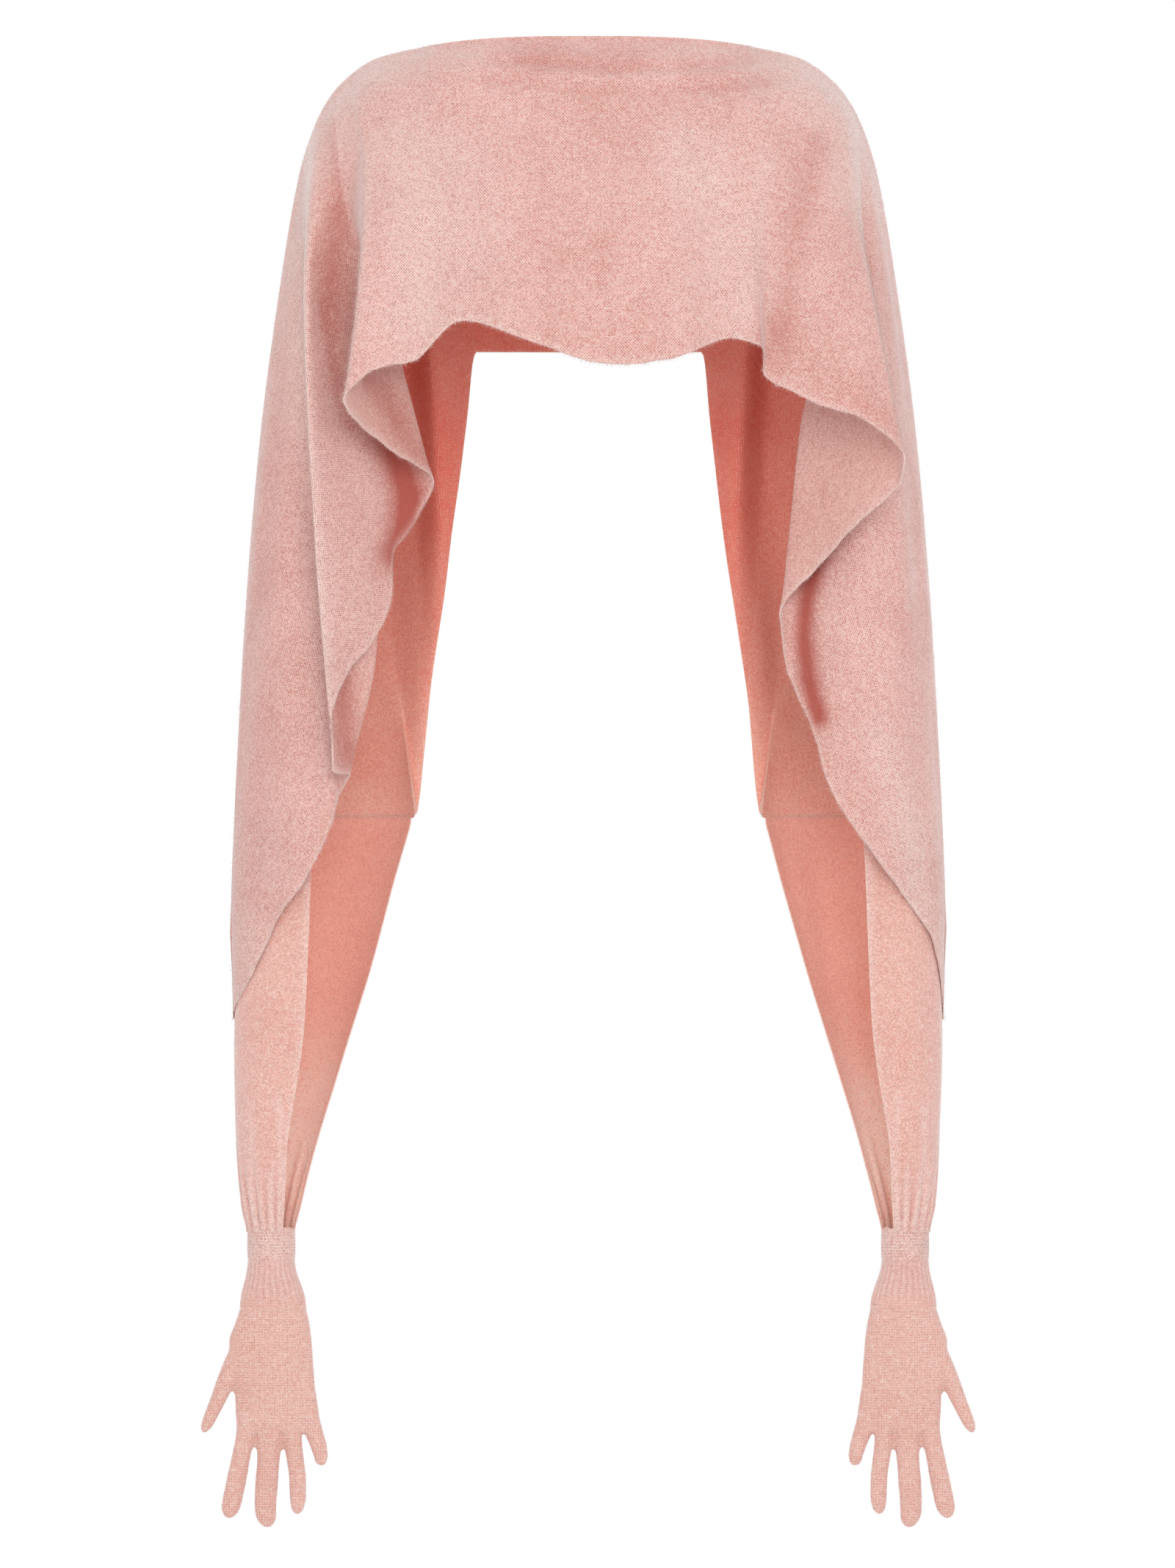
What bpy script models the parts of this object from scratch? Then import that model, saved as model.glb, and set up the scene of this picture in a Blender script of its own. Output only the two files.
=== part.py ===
"""Knit cape with long open sleeves and attached gloves, hollow, as its wearer holds it.

Lengths in the tables are millimetres measured from the middle of the neck opening:
out is away from the centre plane, fore is towards the front, down is below the neck.
"""

import math
from collections import namedtuple

import bmesh
import bpy
import numpy as np

GARMENT = "knit cape"
MM = 0.001
CAPE_WALL = 2.0
SLEEVE_WALL = 1.5
CUFF_WALL = 2.2
RIB_WALL = 1.2
GLOVE_WALL = 1.3
SEAM_GAP = 0.3
SEAM_STRAIGHT = 3.0
CUT_GAP = 0.9

NECK_HALF_WIDTH = 125.0
NECK_HALF_DEPTH = 48.0
NECK_DROP = 6.6
CORNER_SPAN = (100.0, 117.0)

SLEEVE_TOP = 584.0
FRONT_OVER_SLEEVE = 4.1
OVER_SLEEVE_FROM = 544.0
LEAST_REACH = 0.2
SLEEVE_SHOWS = (720.0, 780.0)
CUFF_TOP = 894.0
CUFF_FOOT = 914.0
RIB_FOOT = 950.0

# Half way from the over-arm line to the upper points, the shares of the way gone
# outwards, forwards and down: forwards comes first, so the cloth rounds the shoulder.
TURN_SHARES = (0.36, 0.60, 0.34)
# Where the turn, the upper and the lower points lie between the two ends of a fold.
FOLD_SHARES = (0.0, 1 / 6, 1 / 3, 2 / 3, 1.0)

FRONT_ROWS = 18
BACK_ROWS = 14

# The line over the shoulder and down the outside of the arm, where front and back meet.
OverArm = namedtuple("OverArm", "down out")
OVER_ARM = [
    OverArm(6.6, 125.0),
    OverArm(9.4, 139.7),
    OverArm(14.9, 159.0),
    OverArm(25.9, 176.6),
    OverArm(42.4, 192.5),
    OverArm(64.4, 204.6),
    OverArm(102.9, 216.7),
    OverArm(190.9, 231.6),
    OverArm(300.9, 245.9),
    OverArm(432.9, 256.9),
    OverArm(564.9, 264.0),
    OverArm(652.9, 267.3),
    OverArm(740.9, 265.7),
    OverArm(828.9, 263.5),
    OverArm(872.9, 260.2),
    OverArm(894.9, 256.3),
]

# A fold is one line of the cloth from its upper edge to its hem. top is how far along
# the neck and over-arm edge it starts, and cols is how many mesh columns lead to it.
Fold = namedtuple("Fold", "name cols top upper lower hem")
CENTRE = Fold("centre", 0, 0, (0, 90, 72), (0, 118, 158), (0, 127, 245))
FRONT_RIGHT = [
    Fold("rise", 2, 40, (41, 89, 71), (42, 114, 150), (42, 122, 230)),
    Fold("crest", 2, 82, (85, 86, 69), (90, 105, 138), (93, 104, 214)),
    Fold("swell", 2, 118, (120, 84, 78), (127, 114, 162), (129, 124, 244)),
    Fold("swell out", 2, 142, (143, 84, 86), (152, 124, 174), (160, 133, 252)),
    Fold("first ridge", 2, 174, (165, 82, 98), (171, 122, 192), (181, 129, 274)),
    Fold("turn", 2, 184, (172, 68, 100), (168, 98, 200), (170, 104, 291)),
    Fold("second layer", 2, 192, (178, 60, 104), (158, 74, 210), (142, 76, 313)),
    Fold("inner fold", 2, 202, (184, 56, 112), (146, 54, 224), (116, 56, 333)),
    Fold("third layer a", 2, 211, (192, 58, 130), (150, 44, 262), (133, 44, 369)),
    Fold("third layer b", 1, 219, (200, 63, 150), (166, 58, 300), (145, 49, 387)),
    Fold("third layer c", 1, 225, (204, 66, 160), (176, 66, 318), (147, 56, 422)),
    Fold("third layer d", 1, 230, (207, 69, 170), (190, 78, 338), (157, 63, 447)),
    Fold("third layer e", 1, 236, (210, 70, 180), (203, 88, 358), (180, 78, 477)),
    Fold("second ridge", 2, 243, (213, 68, 192), (208, 87, 372), (191, 88, 510)),
    Fold("ridge foot", 1, 247, (213, 65, 196), (204, 82, 380), (190, 84, 548)),
    Fold("fourth layer", 1, 256, (212, 58, 220), (184, 70, 405), (185, 72, 551)),
    Fold("lower inner fold", 2, 271, (208, 50, 255), (156, 56, 440), (178, 60, 552)),
    Fold("fifth layer a", 1, 297, (218, 44, 285), (176, 48, 455), (186, 54, 567)),
    Fold("fifth layer b", 2, 338, (226, 40, 320), (200, 56, 475), (190, 60, 584)),
    Fold("fifth layer c", 2, 398, (237, 34, 370), (219, 56, 505), (208, 60, 624)),
    Fold("fifth layer d", 2, 489, (248, 26, 440), (238, 44, 550), (233, 46, 660)),
    Fold("fifth layer e", 2, 619, (258, 14, 540), (255, 24, 620), (251, 28, 704)),
]
FRONT_LEFT = [
    Fold("dip", 1, 30, (30, 90, 72), (29, 119, 159), (27, 127, 247)),
    Fold("rise", 1, 58, (60, 88, 71), (61, 115, 157), (60, 123, 243)),
    Fold("crest", 2, 100, (101, 85, 74), (105, 103, 149), (106, 102, 227)),
    Fold("step", 2, 116, (117, 85, 77), (123, 105, 157), (129, 105, 236)),
    Fold("step foot", 1, 126, (126, 85, 80), (131, 113, 167), (130, 121, 253)),
    Fold("swell", 2, 144, (145, 84, 88), (155, 122, 180), (167, 130, 275)),
    Fold("swell out", 2, 172, (172, 80, 96), (187, 119, 194), (206, 126, 289)),
    Fold("ridge", 3, 199, (198, 66, 112), (215, 104, 210), (236, 113, 317)),
    Fold("turn", 1, 207, (202, 57, 118), (213, 86, 221), (232, 99, 334)),
    Fold("second layer a", 2, 215, (203, 51, 124), (200, 67, 241), (201, 80, 364)),
    Fold("second layer b", 2, 222, (203, 46, 132), (183, 58, 266), (170, 62, 398)),
    Fold("inner fold", 2, 231, (203, 43, 145), (159, 47, 290), (144, 49, 431)),
    Fold("third layer a", 2, 244, (208, 42, 170), (168, 40, 330), (148, 42, 471)),
    Fold("third layer b", 2, 267, (215, 46, 210), (185, 52, 375), (165, 54, 513)),
    Fold("third layer c", 2, 308, (225, 44, 270), (204, 60, 430), (181, 64, 563)),
    Fold("third layer d", 2, 368, (236, 38, 340), (222, 56, 485), (205, 60, 600)),
    Fold("third layer e", 2, 459, (247, 28, 420), (240, 44, 540), (232, 48, 636)),
    Fold("third layer f", 2, 589, (257, 16, 515), (255, 27, 600), (251, 28, 668)),
]
BACK_CENTRE = Fold("centre", 0, 0, (0, -90, 76), (0, -103, 154), (0, -106, 232))
BACK_SIDE = [
    Fold("flat", 2, 45, (45, -88, 76), (45, -101, 154), (45, -105, 232)),
    Fold("corner", 3, 92, (89, -82, 79), (88, -97, 155), (85.5, -99, 232)),
    Fold("edge", 1, 116, (112, -76, 95), (104, -86, 190), (93, -84, 288)),
    Fold("ridge", 2, 138, (128, -66, 120), (116, -62, 262), (105, -64, 388)),
    Fold("hollow", 2, 162, (146, -72, 150), (134, -88, 320), (120, -48, 490)),
    Fold("edge foot", 2, 185, (168, -70, 185), (156, -86, 390), (131.5, -22, 584)),
    Fold("seam a", 2, 211, (190, -64, 215), (182, -78, 400), (152, -40, 584)),
    Fold("seam b", 2, 256, (212, -52, 260), (208, -62, 425), (190, -45, 584)),
    Fold("seam c", 2, 348, (233, -36, 325), (233, -42, 465), (225, -40, 584)),
    Fold("seam d", 2, 489, (251, -20, 430), (253, -22, 515), (252, -23, 584)),
]
FRONT_SEAM_END = (860.0, 903.0)
BACK_SEAM_END = (700.0, 753.5)
# How far above the sleeve the back starts to turn into the sleeve's own section.
MEET_SPAN = 110.0

# The front and the back are built in neighbours that meet at these folds, so that the
# collision of each can follow its own folds. From the wearer's right to the left.
FRONT_RIGHT_CUTS = ("lower inner fold", "inner fold", "swell")
FRONT_LEFT_CUTS = ("swell", "inner fold")
FRONT_NAMES = (
    "front_right_arm",
    "front_right_lower_fold",
    "front_right_fold",
    "front_middle",
    "front_left_fold",
    "front_left_arm",
)
BACK_CUT = "corner"
BACK_NAMES = ("back_right", "back_middle", "back_left")

# Sections of the sleeve: inner is its free back edge, slit its free front edge.
Section = namedtuple("Section", "down inner slit depth")
SLEEVE_SECTIONS = [
    Section(584.0, 131.5, 205.0, 45.0),
    Section(625.0, 143.0, 207.0, 45.0),
    Section(697.0, 163.0, 209.5, 42.0),
    Section(741.0, 176.6, 212.0, 39.0),
    Section(785.0, 190.0, 218.0, 35.0),
    Section(829.0, 203.5, 225.0, 30.0),
    Section(860.0, 211.6, 226.5, 26.5),
    Section(894.0, 219.5, 228.0, 23.0),
]
INNER_EDGE_DEG = -160.0
SLEEVE_ROWS = 6
SLEEVE_COLUMNS = 32
GATHERS = 8
GATHER_DEPTH = 2.4
GATHERS_FROM = 800.0
GATHERS_DEEPEN = 822.0
GATHERS_FULL = 886.0
GATHER_ROWS = 5

CUFF_HALF = (18.4, 23.0)
CUFF_CENTRE = 237.3
CUFF_PUFF = 0.7
CUFF_SIDES = 20
SLEEVE_INSET_DEG = (-45.0, 0.0)
RIBS = 20
RIB_HEIGHT = 0.9
RIB_MIDDLE = 926.0

# Levels of the palm: inner and outer are its sides, thick is half its thickness.
Level = namedtuple("Level", "down inner outer thick")
PALM_LEVELS = [
    Level(950.3, 211.5, 260.5, 14.5),
    Level(962.0, 208.8, 264.5, 13.5),
    Level(976.0, 207.0, 269.0, 13.0),
    Level(992.0, 205.8, 269.0, 12.3),
    Level(1009.0, 204.6, 265.0, 11.4),
    Level(1021.0, 202.8, 264.3, 10.0),
]
THUMB_LEVEL = 2
PALM_ACROSS = 9
PALM_SIDE = 0.93
PALM_ROUNDNESS = 2.5

# The roots of the fingers along the foot of the palm, from the forefinger's outer side.
FINGER_ROOTS = [264.2, 249.0, 228.6, 214.5, 200.6]
ROOT_DOWN = 1035.0
ROOT_THICK = 7.8
ROOT_SIDE_INSET = 1.6
# Shares of that thickness between two fingers and at the two sides of the hand.
BETWEEN_FINGERS = 0.8
AT_HAND_SIDES = 0.62
FINGER_SHRINK = 0.18
THUMB_SHRINK = 0.45

# Rings of each finger after its root: centre, half width and half thickness.
Ring = namedtuple("Ring", "out down wide thick")
FINGERS = {
    "index": [
        Ring(256.7, 1046.0, 7.3, 7.0),
        Ring(260.0, 1062.0, 7.2, 6.6),
        Ring(263.5, 1080.0, 7.7, 6.5),
        Ring(267.0, 1097.0, 7.6, 6.0),
        Ring(268.6, 1106.0, 4.8, 4.0),
    ],
    "middle": [
        Ring(238.9, 1047.0, 9.5, 7.4),
        Ring(239.5, 1064.0, 8.6, 7.0),
        Ring(241.0, 1084.0, 8.7, 6.8),
        Ring(241.8, 1103.0, 8.2, 6.3),
        Ring(240.6, 1113.0, 5.0, 4.2),
    ],
    "ring": [
        Ring(221.4, 1046.0, 6.8, 6.6),
        Ring(219.9, 1061.0, 6.7, 6.4),
        Ring(217.8, 1077.0, 6.5, 6.2),
        Ring(217.4, 1094.0, 6.1, 5.6),
        Ring(217.8, 1103.0, 3.9, 3.6),
    ],
    "little": [
        Ring(205.4, 1044.0, 7.2, 6.4),
        Ring(201.8, 1055.0, 6.4, 5.8),
        Ring(200.2, 1063.0, 5.2, 5.0),
        Ring(199.8, 1068.0, 3.2, 3.2),
    ],
}
THUMB = [
    Ring(271.5, 1006.0, 7.0, 7.0),
    Ring(277.5, 1020.0, 5.9, 5.9),
    Ring(283.3, 1033.0, 5.0, 5.0),
    Ring(287.2, 1041.5, 3.4, 3.4),
]
THUMB_LEAN = math.radians(24)
TIP_LENGTH = 4.0

CLOTH = {
    "outer": ((0.79, 0.50, 0.45), 0.92),
    "inner": ((0.76, 0.43, 0.38), 0.92),
    "sheer": ((0.80, 0.50, 0.44), 0.90),
    "rib": ((0.82, 0.53, 0.48), 0.90),
    "glove": ((0.79, 0.50, 0.44), 0.90),
}


def smooth_step(x, low, high):
    """0 up to low, 1 from high, and a soft rise between them."""
    t = np.clip((np.asarray(x, float) - low) / (high - low), 0.0, 1.0)
    return t * t * (3.0 - 2.0 * t)


def through(knots, values, at):
    """A smooth curve through values at rising knots, with no overshoot, read at given places."""
    knots = np.asarray(knots, float)
    values = np.asarray(values, float)
    at = np.asarray(at, float)
    step = np.diff(knots)
    if values.ndim > 1:
        step = step[:, None]
    slope = np.diff(values, axis=0) / step
    bend = slope[:-1] * slope[1:]
    total = slope[:-1] + slope[1:]
    safe = np.where(np.abs(total) > 1e-12, total, 1.0)
    inside = np.where(bend > 0, 2.0 * bend / safe, 0.0)
    rate = np.concatenate([slope[:1], inside, slope[-1:]])
    cell = np.clip(np.searchsorted(knots, at, side="right") - 1, 0, len(knots) - 2)
    width = (knots[cell + 1] - knots[cell])
    t = (at - knots[cell]) / width
    if values.ndim > 1:
        t = t[:, None]
        width = width[:, None]
    return (
        values[cell] * (1 + 2 * t) * (1 - t) ** 2
        + values[cell + 1] * t * t * (3 - 2 * t)
        + rate[cell] * width * t * (1 - t) ** 2
        - rate[cell + 1] * width * t * t * (1 - t)
    )


def over_arm_out(down):
    """How far out the over-arm line is at each depth."""
    return through([r.down for r in OVER_ARM], [r.out for r in OVER_ARM], down)


def upper_edge(along, fore_sign):
    """Points on the neck edge and then the over-arm line, at lengths along from the centre."""
    line = np.array([(r.out, r.down) for r in OVER_ARM])
    lengths = NECK_HALF_WIDTH + np.concatenate(
        [[0.0], np.cumsum(np.linalg.norm(np.diff(line, axis=0), axis=1))]
    )
    points = np.empty((len(along), 3))
    for i, length in enumerate(along):
        share = min(length / NECK_HALF_WIDTH, 1.0)
        if share < 1.0:
            fore = NECK_HALF_DEPTH * math.sqrt(1.0 - share * share)
            points[i] = (length, fore, NECK_DROP * share**3)
        else:
            down = float(np.interp(length, lengths, line[:, 1]))
            points[i] = (float(over_arm_out([down])[0]), 0.0, down)
    points[:, 1] = fore_sign * np.maximum(points[:, 1], SEAM_GAP / 2)
    return points


def columns_of(folds):
    """Places of the mesh columns along a list of folds, counted in folds."""
    places = [0.0]
    for i, fold in enumerate(folds[1:]):
        places.extend(i + (k + 1) / fold.cols for k in range(fold.cols))
    return np.array(places)


def drop_grid(folds, rows, fore_sign, foot_straight):
    """Columns of points (out, fore, down) for one side, from the centre out to the over-arm line."""
    knots = np.arange(len(folds))
    at = columns_of(folds)
    along = through(knots, [f.top for f in folds], at)
    top = upper_edge(along, fore_sign)
    upper = through(knots, [f.upper for f in folds], at)
    lower = through(knots, [f.lower for f in folds], at)
    hem = through(knots, [f.hem for f in folds], at)
    on_arm = smooth_step(along, *CORNER_SPAN)[:, None]
    on_arm[-1] = 0.0
    drop = upper - top
    drop /= np.linalg.norm(drop, axis=1)[:, None]
    across = np.array([0.0, fore_sign, 0.0])
    first = top + SEAM_STRAIGHT * (on_arm * across + (1.0 - on_arm) * drop)
    last = hem - np.array([0.0, 0.0, foot_straight])
    t = np.linspace(0.0, 1.0, rows)
    turn = first + (upper - first) * np.array(TURN_SHARES)
    grid = []
    for c in range(len(at)):
        line = [first[c], turn[c], upper[c], lower[c], last[c]]
        inner = through(FOLD_SHARES, line, t)
        column = [top[c], *inner]
        if foot_straight:
            column.append(hem[c])
        grid.append(column)
    beside = np.array(grid[-1]) + SEAM_STRAIGHT * across
    beside[0] = upper_edge([along[-1] - SEAM_STRAIGHT], fore_sign)[0]
    return np.array([*grid[:-1], beside, grid[-1]])


def seam_end(ends, fore_sign):
    """The last fold of a side, which lies on the over-arm line itself."""
    along = np.linspace(ends[0], ends[1], 4)
    points = upper_edge(along, fore_sign)
    return Fold("seam end", 2, ends[0], *(tuple(p) for p in points[1:]))


def sleeve_section(down):
    """Centre, half width, half depth and slit angle of the sleeve at each depth."""
    knots = [s.down for s in SLEEVE_SECTIONS]
    inner = through(knots, [s.inner for s in SLEEVE_SECTIONS], down)
    slit = through(knots, [s.slit for s in SLEEVE_SECTIONS], down)
    deep = through(knots, [s.depth for s in SLEEVE_SECTIONS], down)
    outer = over_arm_out(down)
    half = (outer - inner) / (1.0 - math.cos(math.radians(INNER_EDGE_DEG)))
    centre = outer - half
    return centre, half, deep, np.arccos((slit - centre) / half)


def over_sleeve(grid):
    """Keeps the front panel clear of the sleeve that it lies on."""
    flat = grid.reshape(-1, 3)
    low = flat[:, 2] > OVER_SLEEVE_FROM
    down = np.clip(flat[low, 2], SLEEVE_TOP, CUFF_TOP)
    centre, half, deep, _ = sleeve_section(down)
    reach = (flat[low, 0] - centre) / half
    rise = flat[low, 1] / (deep + FRONT_OVER_SLEEVE)
    size = np.hypot(reach, rise)
    grow = np.where((size < 1.0) & (reach > 0), 1.0 / np.maximum(size, LEAST_REACH), 1.0)
    on_seam = flat[low, 1] <= SEAM_GAP
    flat[low, 0] = centre + (flat[low, 0] - centre) * np.where(on_seam, 1.0, grow)
    flat[low, 1] *= np.where(on_seam, 1.0, grow)
    return flat.reshape(grid.shape)


def meet_sleeve(grid):
    """Brings the columns of the back that end at a sleeve on to its section there."""
    centre, half, deep, _ = sleeve_section([SLEEVE_TOP + SEAM_STRAIGHT])
    at_sleeve = grid[:, -1, 2] > SLEEVE_TOP - SEAM_STRAIGHT
    inner = grid[at_sleeve][:-1]
    reach = np.clip((inner[:, -1, 0] - centre) / half, -1.0, 1.0)
    shift = -deep * np.sqrt(1.0 - reach**2) - inner[:, -1, 1]
    share = smooth_step(inner[..., 2], SLEEVE_TOP - MEET_SPAN, SLEEVE_TOP - SEAM_STRAIGHT)
    inner[..., 1] += shift[:, None] * share
    grid[np.flatnonzero(at_sleeve)[:-1]] = inner
    return grid


def to_metres(points, side):
    """(out, fore, down) in millimetres to (x, y, z) in metres, on the side given by its sign."""
    points = np.asarray(points, float)
    return np.stack([side * points[..., 0], -points[..., 1], -points[..., 2]], -1) * MM


def material(name, colour, roughness):
    """A plain Principled material."""
    made = bpy.data.materials.new(name)
    made.use_nodes = True
    shader = made.node_tree.nodes["Principled BSDF"]
    shader.inputs["Base Color"].default_value = (*colour, 1.0)
    shader.inputs["Roughness"].default_value = roughness
    shader.inputs["Metallic"].default_value = 0.0
    return made


def add_object(name, verts, faces, cloth):
    """A mesh object in the garment's collection."""
    mesh = bpy.data.meshes.new(name)
    mesh.from_pydata([tuple(v) for v in verts], [], faces)
    mesh.shade_smooth()
    made = bpy.data.objects.new(name, mesh)
    bpy.data.collections[GARMENT].objects.link(made)
    made.data.materials.append(material(name, *CLOTH[cloth]))
    return made


def add_wall(made, thickness):
    """Gives an open surface its wall, inwards from the outer face."""
    wall = made.modifiers.new("Wall", "SOLIDIFY")
    wall.thickness = thickness * MM
    wall.offset = -1.0
    return made


def grid_faces(columns, rows, closed, flip):
    """Quads of a grid stored column by column, closed round where asked."""
    faces = []
    for c in range(columns if closed else columns - 1):
        following = (c + 1) % columns
        for r in range(rows - 1):
            quad = [
                c * rows + r,
                following * rows + r,
                following * rows + r + 1,
                c * rows + r + 1,
            ]
            faces.append(quad[::-1] if flip else quad)
    return faces


def column_at(folds, name):
    """The mesh column that leads to a fold, counted from the centre."""
    count = 0
    for fold in folds:
        count += fold.cols
        if fold.name == name:
            return count
    raise ValueError(f"no fold is named {name}")


def cut_sheet(grid, cuts, names, cloth, flip):
    """Builds one sheet as neighbours that meet a small gap apart, in line with each other."""
    for cut in cuts:
        before, after = grid[cut - 1], grid[cut + 1]
        way = after - before
        share = ((grid[cut] - before) * way).sum(1) / (way * way).sum(1)
        grid[cut] = before + way * share[:, None]
    edges = [0, *cuts, len(grid) - 1]
    for first, last, name in zip(edges[:-1], edges[1:], names):
        piece = grid[first : last + 1].copy()
        if first:
            way = grid[first + 1] - grid[first]
            piece[0] += way / np.linalg.norm(way, axis=1)[:, None] * CUT_GAP / 2 * MM
        if last < len(grid) - 1:
            way = grid[last - 1] - grid[last]
            piece[-1] += way / np.linalg.norm(way, axis=1)[:, None] * CUT_GAP / 2 * MM
        faces = grid_faces(len(piece), piece.shape[1], False, flip)
        add_wall(add_object(name, piece.reshape(-1, 3), faces, cloth), CAPE_WALL)


def front():
    """The front from over-arm line to over-arm line, in six neighbours."""
    end = seam_end(FRONT_SEAM_END, 1)
    right = over_sleeve(drop_grid([CENTRE, *FRONT_RIGHT, end], FRONT_ROWS, 1, 0))
    left = over_sleeve(drop_grid([CENTRE, *FRONT_LEFT, end], FRONT_ROWS, 1, 0))
    grid = np.concatenate([to_metres(right, -1)[::-1], to_metres(left, 1)[1:]])
    centre = len(right) - 1
    cuts = [centre - column_at(FRONT_RIGHT, name) for name in FRONT_RIGHT_CUTS]
    cuts += [centre + column_at(FRONT_LEFT, name) for name in FRONT_LEFT_CUTS]
    cut_sheet(grid, cuts, FRONT_NAMES, "outer", True)


def back():
    """The back, whose sides run down behind the arms to the sleeves, in three neighbours."""
    end = seam_end(BACK_SEAM_END, -1)
    half = drop_grid([BACK_CENTRE, *BACK_SIDE, end], BACK_ROWS, -1, SEAM_STRAIGHT)
    half[..., 2] = np.minimum(half[..., 2], SLEEVE_TOP - SEAM_GAP / 2)
    half = meet_sleeve(half)
    grid = np.concatenate([to_metres(half, -1)[::-1], to_metres(half, 1)[1:]])
    centre, cut = len(half) - 1, column_at(BACK_SIDE, BACK_CUT)
    cut_sheet(grid, [centre - cut, centre + cut], BACK_NAMES, "inner", False)


def sleeve(side, word):
    """A forearm piece, from its back edge round the outside to its front edge."""
    down = np.concatenate(
        [
            [SLEEVE_TOP + SEAM_GAP / 2],
            np.linspace(SLEEVE_TOP + SEAM_STRAIGHT, GATHERS_FROM, SLEEVE_ROWS),
            np.linspace(GATHERS_DEEPEN, CUFF_TOP - SEAM_STRAIGHT, GATHER_ROWS),
            [CUFF_TOP - SEAM_GAP / 2],
        ]
    )
    held = np.clip(down, SLEEVE_TOP + SEAM_STRAIGHT, CUFF_TOP - SEAM_STRAIGHT)
    centre, half, deep, slit = sleeve_section(held)
    gathered = GATHER_DEPTH * smooth_step(down, GATHERS_FROM, GATHERS_FULL)
    inset = FRONT_OVER_SLEEVE * (1.0 - smooth_step(down, *SLEEVE_SHOWS))
    share = np.linspace(0.0, 1.0, SLEEVE_COLUMNS + 1)
    grid = np.empty((SLEEVE_COLUMNS + 1, len(down), 3))
    for c, along in enumerate(share):
        angle = math.radians(INNER_EDGE_DEG) * (1 - along) + slit * along
        wave = gathered * 0.5 * (math.cos(2 * math.pi * GATHERS * along) - 1.0)
        tucked = inset * smooth_step(np.degrees(angle), *SLEEVE_INSET_DEG)
        grid[c, :, 0] = centre + (half + wave - tucked) * np.cos(angle)
        grid[c, :, 1] = (deep + wave) * np.sin(angle)
        grid[c, :, 2] = down
    points = to_metres(grid, side)
    faces = grid_faces(len(points), points.shape[1], False, side < 0)
    made = add_object(f"sleeve_{word}", points.reshape(-1, 3), faces, "sheer")
    return add_wall(made, SLEEVE_WALL)


def ellipse(centre, half, down, sides, bulge=0.0):
    """A level ring of points (out, fore, down)."""
    angles = np.linspace(0.0, 2 * math.pi, sides, endpoint=False)
    return np.stack(
        [
            centre + (half[0] + bulge) * np.cos(angles),
            (half[1] + bulge) * np.sin(angles),
            np.full(sides, down),
        ],
        -1,
    )


def cuff(side, word):
    """The band that holds the gathers, slightly puffed."""
    ends = (CUFF_TOP + SEAM_GAP / 2, CUFF_FOOT - SEAM_GAP / 2)
    levels = [ends[0], ends[0] + SEAM_STRAIGHT, ends[1] - SEAM_STRAIGHT, ends[1]]
    puffs = [0.0, CUFF_PUFF, CUFF_PUFF, 0.0]
    rings = [
        ellipse(CUFF_CENTRE, CUFF_HALF, level, CUFF_SIDES, puff)
        for level, puff in zip(levels, puffs)
    ]
    grid = to_metres(np.array(rings).transpose(1, 0, 2), side)
    faces = grid_faces(CUFF_SIDES, len(rings), True, side < 0)
    return add_wall(add_object(f"cuff_{word}", grid.reshape(-1, 3), faces, "rib"), CUFF_WALL)


def palm_ring(level):
    """Twenty points round a palm: nine across the front, a side, nine across the back, a side."""
    middle = (level.inner + level.outer) / 2
    half = (level.outer - level.inner) / 2
    across = np.linspace(PALM_SIDE, -PALM_SIDE, PALM_ACROSS)
    rise = level.thick * (1 - np.abs(across) ** PALM_ROUNDNESS) ** (1 / PALM_ROUNDNESS)
    front = [(middle + half * u, f, level.down) for u, f in zip(across, rise)]
    back = [(x, -f, d) for x, f, d in reversed(front)]
    return np.array(
        [*front, (level.inner, 0.0, level.down), *back, (level.outer, 0.0, level.down)]
    )


def root_ring():
    """The foot of the palm, where the fingers start."""
    places = np.arange(PALM_ACROSS)
    out = np.interp(places, places[::2], FINGER_ROOTS)
    out[0] -= ROOT_SIDE_INSET
    out[-1] += ROOT_SIDE_INSET
    thick = np.full(PALM_ACROSS, ROOT_THICK)
    thick[2:-1:2] *= BETWEEN_FINGERS
    thick[[0, -1]] *= AT_HAND_SIDES
    front = [(o, t, ROOT_DOWN) for o, t in zip(out, thick)]
    back = [(x, -f, d) for x, f, d in reversed(front)]
    ends = [(FINGER_ROOTS[i], 0.0, ROOT_DOWN) for i in (-1, 0)]
    return np.array([*front, ends[0], *back, ends[1]])


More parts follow.
